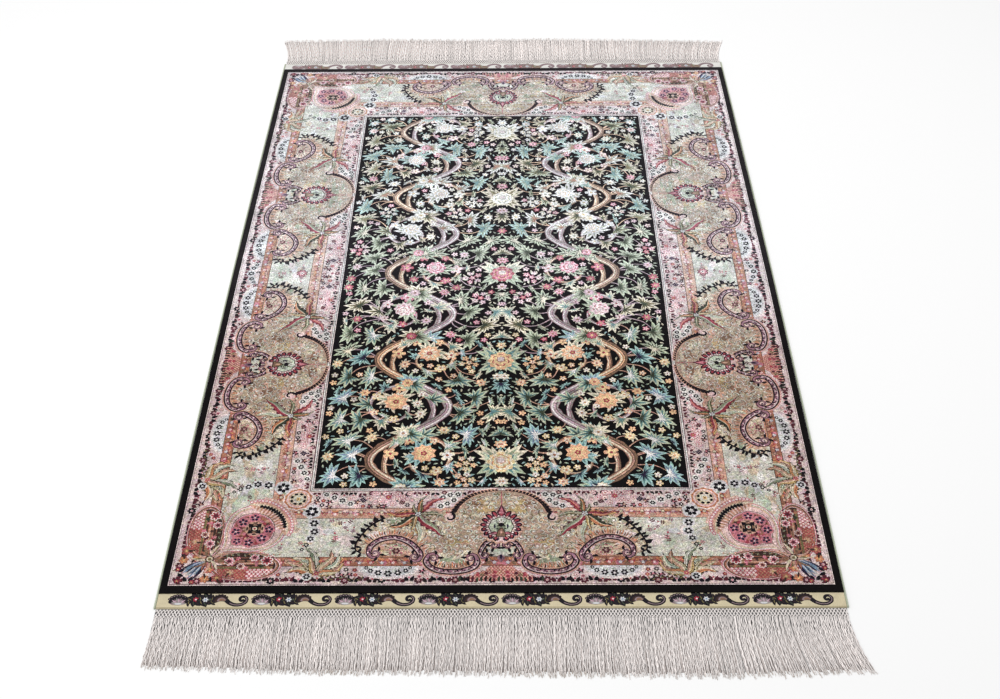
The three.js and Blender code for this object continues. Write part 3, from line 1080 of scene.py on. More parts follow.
def spiral(k, way):
    """The branch that curls inside one sway of the stem, from the stem in to its eye."""
    share = np.linspace(0, 1, 30)
    reach = SPIRAL_RADIUS * (1 - 0.8 * share**0.8)
    around = reach * np.exp(1j * (math.radians(-40) + TAU * 1.35 * share))
    if way < 0:
        around = -np.conj(around)
    return STEM_MIDDLE - way * SPIRAL_OFFSET + 1j * (k + 0.5) * WAVE_LENGTH + around


# What fills the ground, larger kinds first: radius, clear room that it needs, and kind.
FILLERS = [(25, 21.5, "fan"), (20, 18.5, "cluster"), (14, 13, "star"), (10, 10, "leaves"),
           (7.5, 8.0, "blossom"), (5, 6.2, "leaf")]
SMALL_FILLER = 8
TWIG_REACH = 75


def filler(kind, radius, at, away, zone, rng):
    """One of the growths that fill what is left of the ground, turned away from its branch."""
    leaf = rng.choice(ZONE_LEAVES[zone])
    if kind == "fan":
        return placed(leaf_fan(radius * 1.25, leaf, 9, 3.6), at - polar(radius * 0.42, away), away)
    if kind == "cluster":
        return placed(bloom_cluster(radius, PETALS[zone], leaf, rng), at, away)
    if kind == "star":
        fan = leaf_fan(radius * 1.15, leaf, 7, 4.2)
        return placed(fan + star_flower(radius * 0.68, rng.choice(PETALS[zone]), 6), at, away)
    if kind == "leaves":
        return placed(leaf_fan(radius * 1.4, leaf, 5, 2.4), at - polar(radius * 0.6, away), away)
    if kind == "blossom":
        return placed(blossom(radius * 0.85, rng.choice(PETALS[zone]), away), at)
    turn = rng.uniform(0, TAU)
    pair = [(leaf[0], blade(8, 3, 0.4, 2)), (leaf[1], blade(5.4, 1.2, 0.4, 2))]
    return placed(pair, at - polar(4, turn), turn)


def field_half(rng):
    """Half the field: a swaying stem with spiral branches, flowers, leaf fans and sprigs."""
    under, trunk, over = [], [], []
    room = Room(FIELD_HALF + 2, FIELD_LENGTH)
    anchors = []

    def paint(layer, motif, at=0, turn=0.0):
        motif = placed(motif, at, turn)
        for _, shape in motif:
            room.cover(shape)
        layer.extend(motif)

    # the stem and its spirals
    for k in range(WAVES):
        way = 1 if k % 2 == 0 else -1
        w = np.linspace(k * WAVE_LENGTH - 6, (k + 1) * WAVE_LENGTH + 6, 16)
        path = STEM_MIDDLE + STEM_SWAY * np.sin(math.pi * w / WAVE_LENGTH) + 1j * w
        zone = zone_at((k + 0.5) * WAVE_LENGTH, rng)
        paint(trunk, vine(path, 15 - 0.5 * k, STEM_TONES[(0, 1, 2, 1)[k % 4]]))
        branch = spiral(k, way)
        paint(under, vine(branch, np.linspace(9.5, 2.6, len(branch)), STEM_TONES[(zone + k) % 3]))
        anchors += list(path[::2]) + list(branch[2:-6:2])

        # what grows on the spiral: fans outside, blossoms inside
        for j, (at, angle) in enumerate(spaced(branch[3:], 23, 6)):
            tones = rng.choice(ZONE_LEAVES[zone])
            size = (31, 19, 25)[j % 3] * (1 if j < 9 else 0.7)
            if (j % 2 == 1) == (way > 0):
                paint(over, leaf_fan(size, tones, 5 + j % 3), at, angle - way * (1.2 - 0.1 * (j % 3)))
            else:
                at += polar(4.5, angle + way * 1.57)
                paint(over, blossom(size * 0.42, rng.choice(PETALS[zone]), j), at)
        eye = branch[-1]
        tones = rng.choice(PETALS[zone][:3])
        paint(over, leaf_fan(38, rng.choice(ZONE_LEAVES[zone]), 11, 4.4), eye, k)
        paint(over, peony(19, tones, k) if zone else star_flower(21, tones, 9), eye, k * 0.7)

    # a flower and leaf fans where the stem crosses its own middle line
    for k in range(WAVES + 1):
        at = STEM_MIDDLE + 1j * k * WAVE_LENGTH
        zone = zone_at(at.imag, rng)
        for turn, layer in ((0.5, over), (2.6, under), (-0.7, under), (-2.4, over)):
            paint(layer, leaf_fan(31, rng.choice(ZONE_LEAVES[zone]), 8), at, turn + (0 if k % 2 else 0.4))
        paint(over, star_flower(11, rng.choice(PETALS[zone]), 8), at + 9, k)

    # full flowers on the centre line
    for w in np.arange(55, FIELD_LENGTH - 30, 2 * WAVE_LENGTH):
        zone = zone_at(w, rng)
        at = 1j * w
        for turn, reach in ((0.85, 50), (-0.6, 44)):
            paint(over, leaf_fan(reach, rng.choice(ZONE_LEAVES[zone]), 8, 1.7), at, turn)
        paint(over, peony(23, rng.choice(PETALS[zone]), math.pi / 2), at)
        for turn, reach in ((math.pi / 2, 62), (-math.pi / 2, 56)):
            paint(over, leaf_fan(26, rng.choice(ZONE_LEAVES[zone])), at + polar(reach, turn), turn)

    # smaller and smaller growth in what is left of the ground
    anchors = np.array(anchors)
    for radius, clearance, kind in FILLERS:
        step = radius * 0.5
        least = clearance * 0.8
        for w in np.arange(2, FIELD_LENGTH, step):
            for u in np.arange(0, FIELD_HALF, step):
                at = u + 1j * w + rng.uniform(-1, 1) * step * 0.5 + 1j * rng.uniform(-1, 1) * step * 0.5
                at = complex(abs(at.real), at.imag)
                if not (at.real < FIELD_HALF - least and least < at.imag < FIELD_LENGTH - least):
                    continue
                if not room.clear(at, clearance) or (radius < SMALL_FILLER and rng.random() < 0.4):
                    continue
                root = anchors[np.argmin(np.abs(anchors - at))]
                away = cmath.phase(at - root)
                zone = zone_at(w, rng)
                motif = filler(kind, radius, at, away, zone, rng)
                if radius > SMALL_FILLER and abs(at - root) < TWIG_REACH:
                    sag = polar(0.16 * abs(at - root), away + 1.57)
                    twig = smooth([root, (root + at) / 2 + sag, at], 4)
                    paint(under, [(STEM_TONES[zone][2], band(twig, np.linspace(2.2, 1.1, len(twig))))])
                paint(over, motif)
    return under + trunk + over


def field_quarter(half, far):
    """The half field as it falls on one quarter's chart, held inside the border's line."""
    held = []
    edge = BORDER + 1.0
    for colour, shape in half:
        if far:
            chart = END_HALF + 1j * (BORDER + FIELD_LENGTH) - shape
        else:
            chart = END_HALF + 1j * BORDER - np.conj(shape)
        if chart.real.min() <= END_HALF and chart.imag.min() <= SIDE_HALF:
            held.append((colour, np.maximum(chart.real, edge) + 1j * np.maximum(chart.imag, edge)))
    return held


# How far a point may lie off the straight run between its neighbours and still be dropped.
SLACK = 0.18


class PointGrid:
    """Finds quickly which of many points may lie in a shape's box."""

    CELL = 8.0

    def __init__(self, px, py):
        self.x0, self.y0 = px.min(), py.min()
        self.across = int((px.max() - self.x0) / self.CELL) + 1
        self.up = int((py.max() - self.y0) / self.CELL) + 1
        key = (((py - self.y0) / self.CELL).astype(int) * self.across
               + ((px - self.x0) / self.CELL).astype(int))
        self.order = np.argsort(key, kind="stable")
        self.starts = np.searchsorted(key[self.order], np.arange(self.across * self.up + 1))

    def near(self, shape):
        i0 = max(int((shape.real.min() - self.x0) / self.CELL), 0)
        i1 = min(int((shape.real.max() - self.x0) / self.CELL), self.across - 1)
        j0 = max(int((shape.imag.min() - self.y0) / self.CELL), 0)
        j1 = min(int((shape.imag.max() - self.y0) / self.CELL), self.up - 1)
        if i1 < i0 or j1 < j0:
            return np.zeros(0, int)
        rows = [j * self.across for j in range(j0, j1 + 1)]
        return np.concatenate([self.order[self.starts[row + i0]:self.starts[row + i1 + 1]] for row in rows])


def triangulate(points, edges):
    """Points and triangles of a flat triangulation that keeps the given edges."""
    made = delaunay_2d_cdt([Vector((p.real, p.imag)) for p in points], edges, [], 0, 1e-3, False)
    return np.array([complex(v.x, v.y) for v in made[0]]), np.array(made[2])


def sides_of(triangles):
    return np.concatenate([triangles[:, [0, 1]], triangles[:, [1, 2]], triangles[:, [2, 0]]])


def top_shapes(points, triangles, shapes):
    """For each triangle, the last painted shape that covers its middle."""
    middle = points[triangles].mean(1)
    grid = PointGrid(middle.real, middle.imag)
    top = np.full(len(triangles), -1)
    for number, (_, shape) in enumerate(shapes):
        near = grid.near(shape)
        hit = winding(shape, middle.real[near], middle.imag[near]) != 0
        top[near[hit]] = number
    return top


def without_idle_points(points, edges):
    """Drops points that only join two nearly straight runs, a few at a time."""
    for _ in range(4):
        count = len(points)
        ends = edges.ravel()
        met = np.bincount(ends, minlength=count)
        other = np.zeros((count, 2), int)
        order = np.argsort(ends, kind="stable")
        partner = edges[:, ::-1].ravel()[order]
        first = np.searchsorted(ends[order], np.arange(count))
        pair = met == 2
        other[pair, 0] = partner[first[pair]]
        other[pair, 1] = partner[first[pair] + 1]
        a, b = points[other[:, 0]], points[other[:, 1]]
        run = b - a
        off = np.abs((np.conj(run) * (points - a)).imag) / np.maximum(np.abs(run), 1e-9)
        idle = pair & (off < SLACK) & (np.abs(run) > 1e-6)
        # of two idle neighbours only the one with the greater rank goes in this round
        rank = np.where(idle, (np.arange(count) * 7919) % 100003, -1)
        goes = idle & (rank > rank[other[:, 0]]) & (rank > rank[other[:, 1]])
        if not goes.any():
            break
        keep = ~(goes[edges[:, 0]] | goes[edges[:, 1]])
        edges = np.concatenate([edges[keep], other[goes]])
        left = np.unique(edges)
        number = np.full(count, -1)
        number[left] = np.arange(len(left))
        points, edges = points[left], number[edges]
    return points, edges


def flat_partition(shapes, bounds):
    """The chart cut into plain triangles, each with the colour that shows there."""
    points = list(box(*bounds))
    edges = [(k, (k + 1) % 4) for k in range(4)]
    for _, shape in shapes:
        base, count = len(points), len(shape)
        points += list(shape)
        edges += [(base + k, base + (k + 1) % count) for k in range(count)]
    names = sorted({colour for colour, _ in shapes})
    number = {name: k for k, name in enumerate(names)}
    codes = np.array([number[colour] for colour, _ in shapes] + [-1])
    # the first pass finds every crossing, the second keeps only the edges that show
    for last_pass in (False, True):
        found, triangles = triangulate(points, edges)
        middle = found[triangles].mean(1)
        inside = ((middle.real > bounds[0]) & (middle.real < bounds[2])
                  & (middle.imag > bounds[1]) & (middle.imag < bounds[3]))
        triangles = triangles[inside]
        colour = codes[top_shapes(found, triangles, shapes)]
        if last_pass:
            return found, triangles, names, colour
        sides = sides_of(triangles)
        shade = np.tile(colour, 3)
        key = np.sort(sides, 1)
        key = key[:, 0] * len(found) + key[:, 1]
        order = np.argsort(key, kind="stable")
        key, shade, sides = key[order], shade[order], sides[order]
        same = np.zeros(len(key), bool)
        twin = (key[1:] == key[:-1]) & (shade[1:] == shade[:-1])
        same[1:] |= twin
        same[:-1] |= twin
        shown = sides[~same]
        used, index = np.unique(shown, return_inverse=True)
        edges = np.unique(np.sort(index.reshape(-1, 2), 1), axis=0)
        points, edges = without_idle_points(found[used], edges)
        edges = edges.tolist()


# The rug's own sizes, in metres, read from the frame.
BODY_LOW, BODY_HIGH = (Vector(corner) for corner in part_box("rug_body"))
MIDDLE = (BODY_LOW + BODY_HIGH) / 2
PILE_TOP = BODY_HIGH.z
PILE_HALF_WIDTH = END_HALF * MM
PILE_HALF_LENGTH = SIDE_HALF * MM
WOVEN_HALF_LENGTH = (BODY_HIGH.y - BODY_LOW.y) / 2
SIDE_BOW = (BODY_HIGH.x - BODY_LOW.x) / 2 - PILE_HALF_WIDTH
BAND_TOP = 2.2 * MM
BAND_DEPTH = WOVEN_HALF_LENGTH - PILE_HALF_LENGTH


def widen(x, y):
    """The rug's slight outward bow: x stretched by how near y is to mid-way."""
    return x * (1 + SIDE_BOW / PILE_HALF_WIDTH * (1 - (y / WOVEN_HALF_LENGTH) ** 2))


def hand_drawn(x, y):
    """The small drift that a hand-tied pattern has, never at the outer edge."""
    hold_x = 1 - np.clip(np.abs(x) / PILE_HALF_WIDTH, 0, 1) ** 6
    hold_y = 1 - np.clip(np.abs(y) / PILE_HALF_LENGTH, 0, 1) ** 6
    dx = 0.8 * np.sin(9 * y + 1.3) + 0.5 * np.sin(31 * y + 4 * x)
    dy = 1.0 * np.sin(7 * x + 0.7) + 0.5 * np.sin(27 * x + 5 * y)
    return x + dx * MM * hold_x, y + dy * MM * hold_y


def linear(rgb):
    """An sRGB colour out of 255 as linear light."""
    share = np.asarray(rgb, float) / 255
    return np.where(share <= 0.04045, share / 12.92, ((share + 0.055) / 1.055) ** 2.4)


def linked(name, data):
    """A new object in the scene that shows the data."""
    piece = bpy.data.objects.new(name, data)
    bpy.context.scene.collection.objects.link(piece)
    return piece


def new_piece(name, places, faces, material, rounded=False):
    """A piece of the rug, its places in metres from the middle of the rug's underside."""
    mesh = bpy.data.meshes.new(name)
    mesh.from_pydata((places + np.array(MIDDLE) * [1, 1, 0]).tolist(), [], faces)
    mesh.materials.append(material)
    mesh.polygons.foreach_set("use_smooth", [rounded] * len(faces))
    return linked(name, mesh)


def add_dye(mesh, domain, rgb):
    """The dyes, in linear light, as a colour for each of the mesh's points or corners."""
    dye = mesh.color_attributes.new("dye", "FLOAT_COLOR", domain)
    dye.data.foreach_set("color", np.column_stack([rgb, np.ones(len(rgb))]).astype(np.float32).ravel())


def add_flat_map(mesh):
    """A map laid straight down on the piece and filling the square."""
    places = np.empty(len(mesh.vertices) * 3, np.float32)
    mesh.vertices.foreach_get("co", places)
    flat = places.reshape(-1, 3)[:, :2]
    flat = (flat - flat.min(0)) / np.ptp(flat, axis=0)
    corner = np.empty(len(mesh.loops), np.int32)
    mesh.loops.foreach_get("vertex_index", corner)
    layer = mesh.uv_layers.new(name="OFBake")
    layer.uv.foreach_set("vector", (0.002 + 0.996 * flat[corner]).astype(np.float32).ravel())


def slab_from_chart(name, chart, to_rug, top, material, dyes):
    """A closed slab whose top is a cut chart, each triangle in its own dye."""
    points, triangles, names, colour = chart
    x, y = to_rug(points.real, points.imag)
    # a mirrored chart's triangles are turned over, so that they all face up
    a, b, c = triangles.T
    facing = (x[b] - x[a]) * (y[c] - y[a]) - (x[c] - x[a]) * (y[b] - y[a])
    if facing.sum() < 0:
        triangles = triangles[:, ::-1]
    used, index = np.unique(triangles, return_inverse=True)
    triangles = index.reshape(-1, 3)
    x, y = x[used], y[used]
    # the open rim, in order, becomes the side wall and the underside
    both = set(map(tuple, sides_of(triangles).tolist()))
    after = {i: j for i, j in both if (j, i) not in both}
    rim = [int(np.argmin(x + y))]
    while after[rim[-1]] != rim[0]:
        rim.append(after[rim[-1]])
    count, size = len(x), len(rim)
    places = np.zeros((count + size, 3))
    places[:count] = np.stack([x, y, np.full(count, top)], 1)
    places[count:] = places[rim]
    places[count:, 2] = BODY_LOW.z
    low = range(count, count + size)
    walls = [(rim[(k + 1) % size], rim[k], low[k], low[(k + 1) % size]) for k in range(size)]
    faces = triangles.tolist() + walls + [tuple(reversed(low))]
    piece = new_piece(name, places, faces, material)

    shades = np.array([linear(SILKS[dyes.get(dye, dye)]) for dye in names])
    edge_shade = linear(SILKS["black" if top == PILE_TOP else "band cream"])
    per_face = np.concatenate([shades[colour], np.tile(edge_shade, (len(walls) + 1, 1))])
    add_dye(piece.data, "CORNER", np.repeat(per_face, [len(face) for face in faces], axis=0))
    add_flat_map(piece.data)
    return piece


# The flat-woven band at each end, 8 repeats of a scroll of leaves on cream.
BAND_REPEATS = 8
BAND_PERIOD = 121.5
BAND_START = 16.0
LEAF_DYES = ("ink", "night brown", "dark brown", "taupe", "tan")
# Lighter dyes of the band at the back, a painted sheen.
BACK_SHEEN_DYES = {"ink": "taupe", "night brown": "tan", "dark brown": "sage", "moss": "sage",
             "band cream": "white"}


def shaded_leaf(points, middle, dyes):
    """A leaf in ever smaller layers that close in on its lit side."""
    return nested(smooth(points, 3), middle, zip(dyes, np.linspace(1, 0.34, len(dyes))))


def band_repeat():
    """One repeat, along x from its scalloped leaf to its curled hook, y up from the edge."""
    motif = []
    for at, _ in spaced(smooth([1 + 16j, 5 + 21j, 12 + 23.5j, 20 + 22.5j, 27 + 18j], 4), 4.2, 1.0):
        motif += [("ink", oval(2.7, 2.4, 7) + at), ("taupe", oval(1.3, 1.1, 5) + at - 0.3j)]
    motif += shaded_leaf([0 + 12j, 2 + 17j, 7 + 21j, 14 + 22.5j, 22 + 21j, 28 + 16j, 29 + 11.5j, 24 + 7.5j,
                          16 + 5.5j, 7 + 6.5j, 1 + 9.5j], 17 + 8.5j, LEAF_DYES[:3])
    for k in range(11):
        shade = ("grey", "taupe", "light mauve")[k % 3]
        motif += leaf_at(15 + 7j, math.radians(8 + 16.4 * k), shade, 13 - 1.5 * (k % 2), 3.2, 0, 3)
    motif += [("grey", oval(8, 2.6, 9) + 15 + 8.4j), ("ice", oval(5.4, 1.7, 8) + 15 + 8.2j)]
    # leaves round a red and a pale blue flower
    for at, petal, eye, turn in ((40 + 16j, "crimson", "petal pink", 0.2),
                                 (54 + 15.5j, "ice", "steel blue", 0.6)):
        for k in range(8):
            dye = ("ink", "moss", "night brown", "moss")[k % 4]
            motif += placed([("ink", blade(14, 9.6, 0.4, 3)), (dye, blade(11, 3.8, 0.4, 3)),
                             ("sage", blade(8, 0.8, 0.4, 2))], at, turn + TAU * k / 8)
        motif += placed(flower(5.6, 6, petal, eye, "ink"), at, turn)
    streaked = [("ink", blade(11.5, 5.6, 0.4, 3)), ("olive", blade(7.5, 1.8, 0.4, 2))]
    for x, turn in ((31, -2.0), (34, 2.2), (47, -1.5), (47, 1.5), (62, -1.2), (63, 1.1)):
        motif += placed(streaked, x + 14j, turn)
    # the arched leaf and the hook it runs into
    for at, _ in spaced(smooth([65 + 19j, 71 + 23j, 79 + 23.5j, 86 + 19j], 4), 4.2, 1.0):
        motif.append(("night brown", oval(2.4, 2.2, 7) + at))
    motif += shaded_leaf([63 + 11j, 65 + 18j, 71 + 22.5j, 79 + 23j, 86 + 18.5j, 92 + 11.5j, 97 + 7.5j,
                          91 + 7.5j, 84 + 11.5j, 76 + 12.5j, 69 + 9.5j], 79 + 15j, LEAF_DYES)
    hook = smooth([84 + 15j, 90 + 9.5j, 98 + 6.2j, 107 + 6.8j, 113 + 11j, 114.5 + 16j], 4)
    hook = curled(hook, 108 + 16j, 0.85, 12)
    return motif + [("ink", band(hook, np.linspace(7.2, 4.2, len(hook)))), ("taupe", band(hook[4:-9], 1.2)),
                    ("ink", oval(2.6, points=7) + hook[-1])]


def end_bands(material):
    """Both bands, front and back, their scrolls running the same way along each."""
    depth = BAND_DEPTH / MM
    across = 2 * END_HALF
    shapes = [("band cream", box(-5, -5, across + 5, depth + 5)),
              ("cream", box(-5, depth - 2.2, across + 5, depth - 1.2)),
              ("olive", box(-5, 1.0, across + 5, 1.7))]
    for k in range(BAND_REPEATS):
        shapes += placed(band_repeat(), BAND_START + k * BAND_PERIOD)
    chart = flat_partition(shapes, (0, 0, across, depth))
    pieces = []
    # the back band takes lighter dyes as painted sheen
    for name, end, dyes in (("front", -1, {}), ("back", 1, BACK_SHEEN_DYES)):
        def to_rug(x, y, s=end):
            y = s * (WOVEN_HALF_LENGTH - y * MM)
            return widen((x - END_HALF) * MM, y), y
        pieces.append(slab_from_chart(f"band_{name}", chart, to_rug, BAND_TOP, material, dyes))
    return pieces


# The fringes, in millimetres: which end each is at, how long its strands are at six places
# from the left to the right, how far the outermost lean out, and how much paler it is painted, a painted
# sheen.
FRINGES = {
    "fringe_front": {"end": -1, "lengths": [103, 112, 114, 117, 120, 112], "lean_left": 1, "lean_right": 21,
                     "sheen_lift": 1.0},
    "fringe_back": {"end": 1, "lengths": [112, 118, 114, 116, 110, 99], "lean_left": 18, "lean_right": 20,
                    "sheen_lift": 1.16},
}
KNOTS_ACROSS = 204
NET_ROWS = 4
NET_STEP = 4.5
NET_START = 0.6
NET_THREAD = 2.0
NET_DEPTH = NET_START + NET_STEP * (NET_ROWS - 1) + 0.6
STRANDS_PER_KNOT = 3
STRAND_STEPS = 18
STRAND_WIDTH = 1.5
STRAND_HEIGHT = 0.9
CRIMP_LENGTH = 17.0
SPLAY_START = 250.0
SEAM_GAP = 0.3


def tubes(paths, widths, heights):
    """Closed three-sided tubes along many paths at once: an array of places by path."""
    count, steps, _ = paths.shape
    ring_places = np.array([(0.5, 0, -0.35), (0, 0, 0.65), (-0.5, 0, -0.35)])
    sizes = np.stack([widths, np.zeros_like(widths), heights], -1)
    places = paths[:, :, None, :] + ring_places[None, None] * sizes[:, :, None, :]
    foot = (np.arange(count) * steps * 3)[:, None]
    near = foot[:, :, None] + (np.arange(steps - 1) * 3)[None, :, None]
    side = np.arange(3)[None, None, :]
    after = (side + 1) % 3
    corners = (near + side, near + after, near + 3 + after, near + 3 + side)
    quads = np.stack(np.broadcast_arrays(*corners), -1).reshape(-1, 4)
    tip = foot + (steps - 1) * 3
    return places.reshape(-1, 3), quads.tolist() + (foot + [2, 1, 0]).tolist() + (tip + [0, 1, 2]).tolist()


def beads(at, size):
    """Small knots: balls of eight faces, squashed to size."""
    tips = np.array([(1, 0, 0), (0, 1, 0), (-1, 0, 0), (0, -1, 0), (0, 0, 1), (0, 0, -1)], float)
    places = at[:, None, :] + tips[None] * np.array(size)
    top = [(k, (k + 1) % 4, 4) for k in range(4)]
    faces = np.array(top + [(b, a, 5) for a, b, _ in top])
    return places.reshape(-1, 3), ((np.arange(len(at)) * 6)[:, None, None] + faces).reshape(-1, 3).tolist()


def fringe(name, end, lengths, lean_left, lean_right, sheen_lift, material, rng):
    """A fringe: warp ends dyed dark as painted shade, a net of knotted threads, and the strands that hang
    from it.
    """
    half = PILE_HALF_WIDTH / MM
    pitch = 2 * half / KNOTS_ACROSS
    knots = -half + pitch * (np.arange(KNOTS_ACROSS) + 0.5)
    all_places, all_faces, all_dyes = [], [], []

    def add(made, dyes):
        places, faces = made
        base = sum(len(p) for p in all_places)
        all_places.append(places)
        all_faces.extend([[base + i for i in face] for face in faces])
        all_dyes.append(np.broadcast_to(dyes, (len(places), 3)))

    def hang(x, share, reach):
        """Where strands that start at x have got to, a share of the way to the tips."""
        depth = np.interp(x, np.linspace(-half, half, 6), lengths) * (1 + 0.018 * np.sin(x * 0.37)) + reach
        ease = np.clip((np.abs(x) - SPLAY_START) / (half - SPLAY_START), 0, 1)
        lean = np.where(x < 0, -lean_left, lean_right) * ease**2 * (3 - 2 * ease)
        sway = 1.2 * np.sin(x[:, None] * 0.011 + share * 5)
        across = x[:, None] + (lean[:, None] * share + sway) * share
        return across, NET_DEPTH + (depth - NET_DEPTH)[:, None] * share

    # the warp ends that lie beneath the net and the strands, dyed as painted shade: darkest under the net,
    # and darker than the strands where they show between them
    share = np.linspace(-0.14, 0.93, 5)
    across, down = hang(knots, np.maximum(share, 0), 0)
    down[:, 0] = 0.2
    path = np.stack([across, down, np.full_like(across, 0.2)], -1)
    underlay_painted_shade = np.where(share > 0.3, 1.0, 0.14)[None, :, None] * linear(SILKS["fringe painted shade"]) * sheen_lift
    underlay_painted_shade = np.repeat(np.broadcast_to(underlay_painted_shade, (KNOTS_ACROSS, 5, 3)), 3, axis=1).reshape(-1, 3)
    add(tubes(path, np.full_like(across, pitch * 1.02), np.full_like(across, 0.3)), underlay_painted_shade)

    # the net: rows of knots, joined by slanting pairs of threads
    # the thread's dye, made paler at the back fringe as painted sheen
    thread = linear(SILKS["fringe silver"]) * sheen_lift
    edge = half - NET_THREAD / 2
    wide, high = np.full((KNOTS_ACROSS, 3), NET_THREAD), np.full((KNOTS_ACROSS, 3), 0.9)
    for row in range(NET_ROWS):
        x = np.clip(knots + pitch / 2 * (row % 2) + rng.normal(0, 0.15, KNOTS_ACROSS), -edge, edge)
        y = np.full(KNOTS_ACROSS, NET_START + 0.5 + NET_STEP * row)
        at = np.stack([x, y, np.full(KNOTS_ACROSS, 1.15)], 1)
        if row:
            add(beads(at, (1.5, 1.4, 0.7)), thread)
        if row + 1 < NET_ROWS:
            for way in (-1, 1):
                to = at + [way * pitch / 2, NET_STEP, 0]
                to[:, 0] = np.clip(to[:, 0], -edge, edge)
                path = np.stack([at, (at + to) / 2 + [0, 0, 0.1 * way], to], 1)
                add(tubes(path, wide, high), thread)

    # the strands: crimped silk in layers that hang from the last row of knots
    share = np.linspace(0, 1, STRAND_STEPS + 1)
    tips = linear(SILKS["fringe tip"])
    for layer in range(STRANDS_PER_KNOT):
        aside = ((layer * 2) % STRANDS_PER_KNOT - 1) / STRANDS_PER_KNOT * pitch
        x = knots + aside + rng.normal(0, 0.3, KNOTS_ACROSS)
        across, down = hang(x, share, rng.normal(-1.0, 1.6, KNOTS_ACROSS))
        phase = rng.uniform(0, TAU, KNOTS_ACROSS)[:, None]
        crimp = TAU * down / CRIMP_LENGTH * rng.uniform(0.75, 1.3, KNOTS_ACROSS)[:, None] + phase
        drift = rng.normal(0, 1.3, KNOTS_ACROSS)[:, None] * share**2
        freed = np.minimum(share * 8, 1)
        across = across + (0.7 * np.sin(crimp) + 0.25 * np.sin(2.3 * crimp)) * freed + drift
        lift = 0.75 + 0.4 * layer + 0.25 * np.cos(crimp + 1.0) * freed
        path = np.stack([across, down, lift], -1)
        width = STRAND_WIDTH * (1 + 0.16 * np.sin(crimp * 1.7)) * (1 - 0.4 * share**8)
        # each strand's dye varies at random in tone, and the lower layers are a little darker as painted
        # shade
        silver = thread * (1 + 0.1 * rng.normal(0, 1, KNOTS_ACROSS))[:, None] * (0.96, 1.0, 1.04)[layer]
        singed = rng.uniform(0, 0.85, KNOTS_ACROSS) * (0.6 + 0.4 * np.sin(x * 0.021))
        amount = (np.clip((share - 0.92) / 0.08, 0, 1)[None, :] * singed[:, None])[..., None]
        dye = silver[:, None, :] * (1 - amount) + tips * amount
        add(tubes(path, width, np.full_like(width, STRAND_HEIGHT)), np.repeat(dye, 3, axis=1).reshape(-1, 3))

    places = np.concatenate(all_places) * [1, end, 1]
    places[:, 1] += end * (WOVEN_HALF_LENGTH / MM + SEAM_GAP)
    faces = [face if end > 0 else face[::-1] for face in all_faces]
    piece = new_piece(name, places * MM, faces, material, True)
    add_dye(piece.data, "POINT", np.concatenate(all_dyes))
    add_flat_map(piece.data)
    return piece


CORD_RADIUS = 1.55
CORD_LIFT = 0.02
CORD_SIDES = 10
WRAP_STEP = 2.6
WRAP_DIP = 0.88


def side_cord(name, side, half, material):
    """Half of one long side's cord, wrapped in silk thread that stands up in low ridges."""
    length = WOVEN_HALF_LENGTH / MM
    steps = int(length / WRAP_STEP)
    y = np.linspace(0, half * length, steps + 1)[:, None]
    x = side * (widen(PILE_HALF_WIDTH, y * MM) / MM + SEAM_GAP + CORD_RADIUS)
    angles = TAU * (np.arange(CORD_SIDES) + 0.5) / CORD_SIDES
    radius = CORD_RADIUS * np.where(np.arange(steps + 1) % 2 == 0, 1.0, WRAP_DIP)[:, None]
    z = CORD_RADIUS + CORD_LIFT + radius * np.sin(angles)
    places = np.stack(np.broadcast_arrays(x + radius * np.cos(angles), y, z), -1).reshape(-1, 3)
    faces = []
    for start in range(0, steps * CORD_SIDES, CORD_SIDES):
        for k in range(CORD_SIDES):
            a, b = start + k, start + (k + 1) % CORD_SIDES
            faces.append([a, a + CORD_SIDES, b + CORD_SIDES, b])
    foot = list(range(CORD_SIDES))
    faces += [foot, [steps * CORD_SIDES + k for k in reversed(foot)]]
    if half < 0:
        faces = [face[::-1] for face in faces]
    return new_piece(name, places * MM, faces, material, True)


def new_material(name, roughness, specular, sheen=0.0, sheen_roughness=0.3):
    material = bpy.data.materials.new(name)
    material.use_nodes = True
    tree = material.node_tree
    shader = tree.nodes["Principled BSDF"]
    shader.inputs["Roughness"].default_value = roughness
    shader.inputs["Specular IOR Level"].default_value = specular
    shader.inputs["Sheen Weight"].default_value = sheen
    shader.inputs["Sheen Roughness"].default_value = sheen_roughness
    return material, tree, shader


def add_node(tree, kind, inputs=(), **settings):
    """A new node with its settings; its inputs are each set to a value or linked to an output."""
    node = tree.nodes.new(f"ShaderNode{kind}")
    for key, value in settings.items():
        setattr(node, key, value)
    for key, value in dict(inputs).items():
        if isinstance(value, bpy.types.NodeSocket):
            tree.links.new(value, node.inputs[key])
        else:
            node.inputs[key].default_value = value
    return node


def worked_out(tree, operation, *values):
    return add_node(tree, "Math", enumerate(values), operation=operation).outputs[0]


def span(tree, value, low, high):
    """A 0 to 1 value spread over another range."""
    return worked_out(tree, "MULTIPLY_ADD", value, high - low, low)


def stretched(tree, place, scale):
    return add_node(tree, "Mapping", {"Vector": place, "Scale": scale}).outputs[0]


def noise(tree, place, scale, detail=2.0, rough=0.5, output="Fac"):
    inputs = {"Vector": place, "Scale": scale, "Detail": detail, "Roughness": rough}
    return add_node(tree, "TexNoise", inputs).outputs[output]


def mixed(tree, blend, factor, a, b):
    """Two colours blended; inputs 6 and 7 of the node are its colours."""
    inputs = {"Factor": factor, 6: a, 7: b}
    return add_node(tree, "Mix", inputs, data_type="RGBA", blend_type=blend).outputs[2]


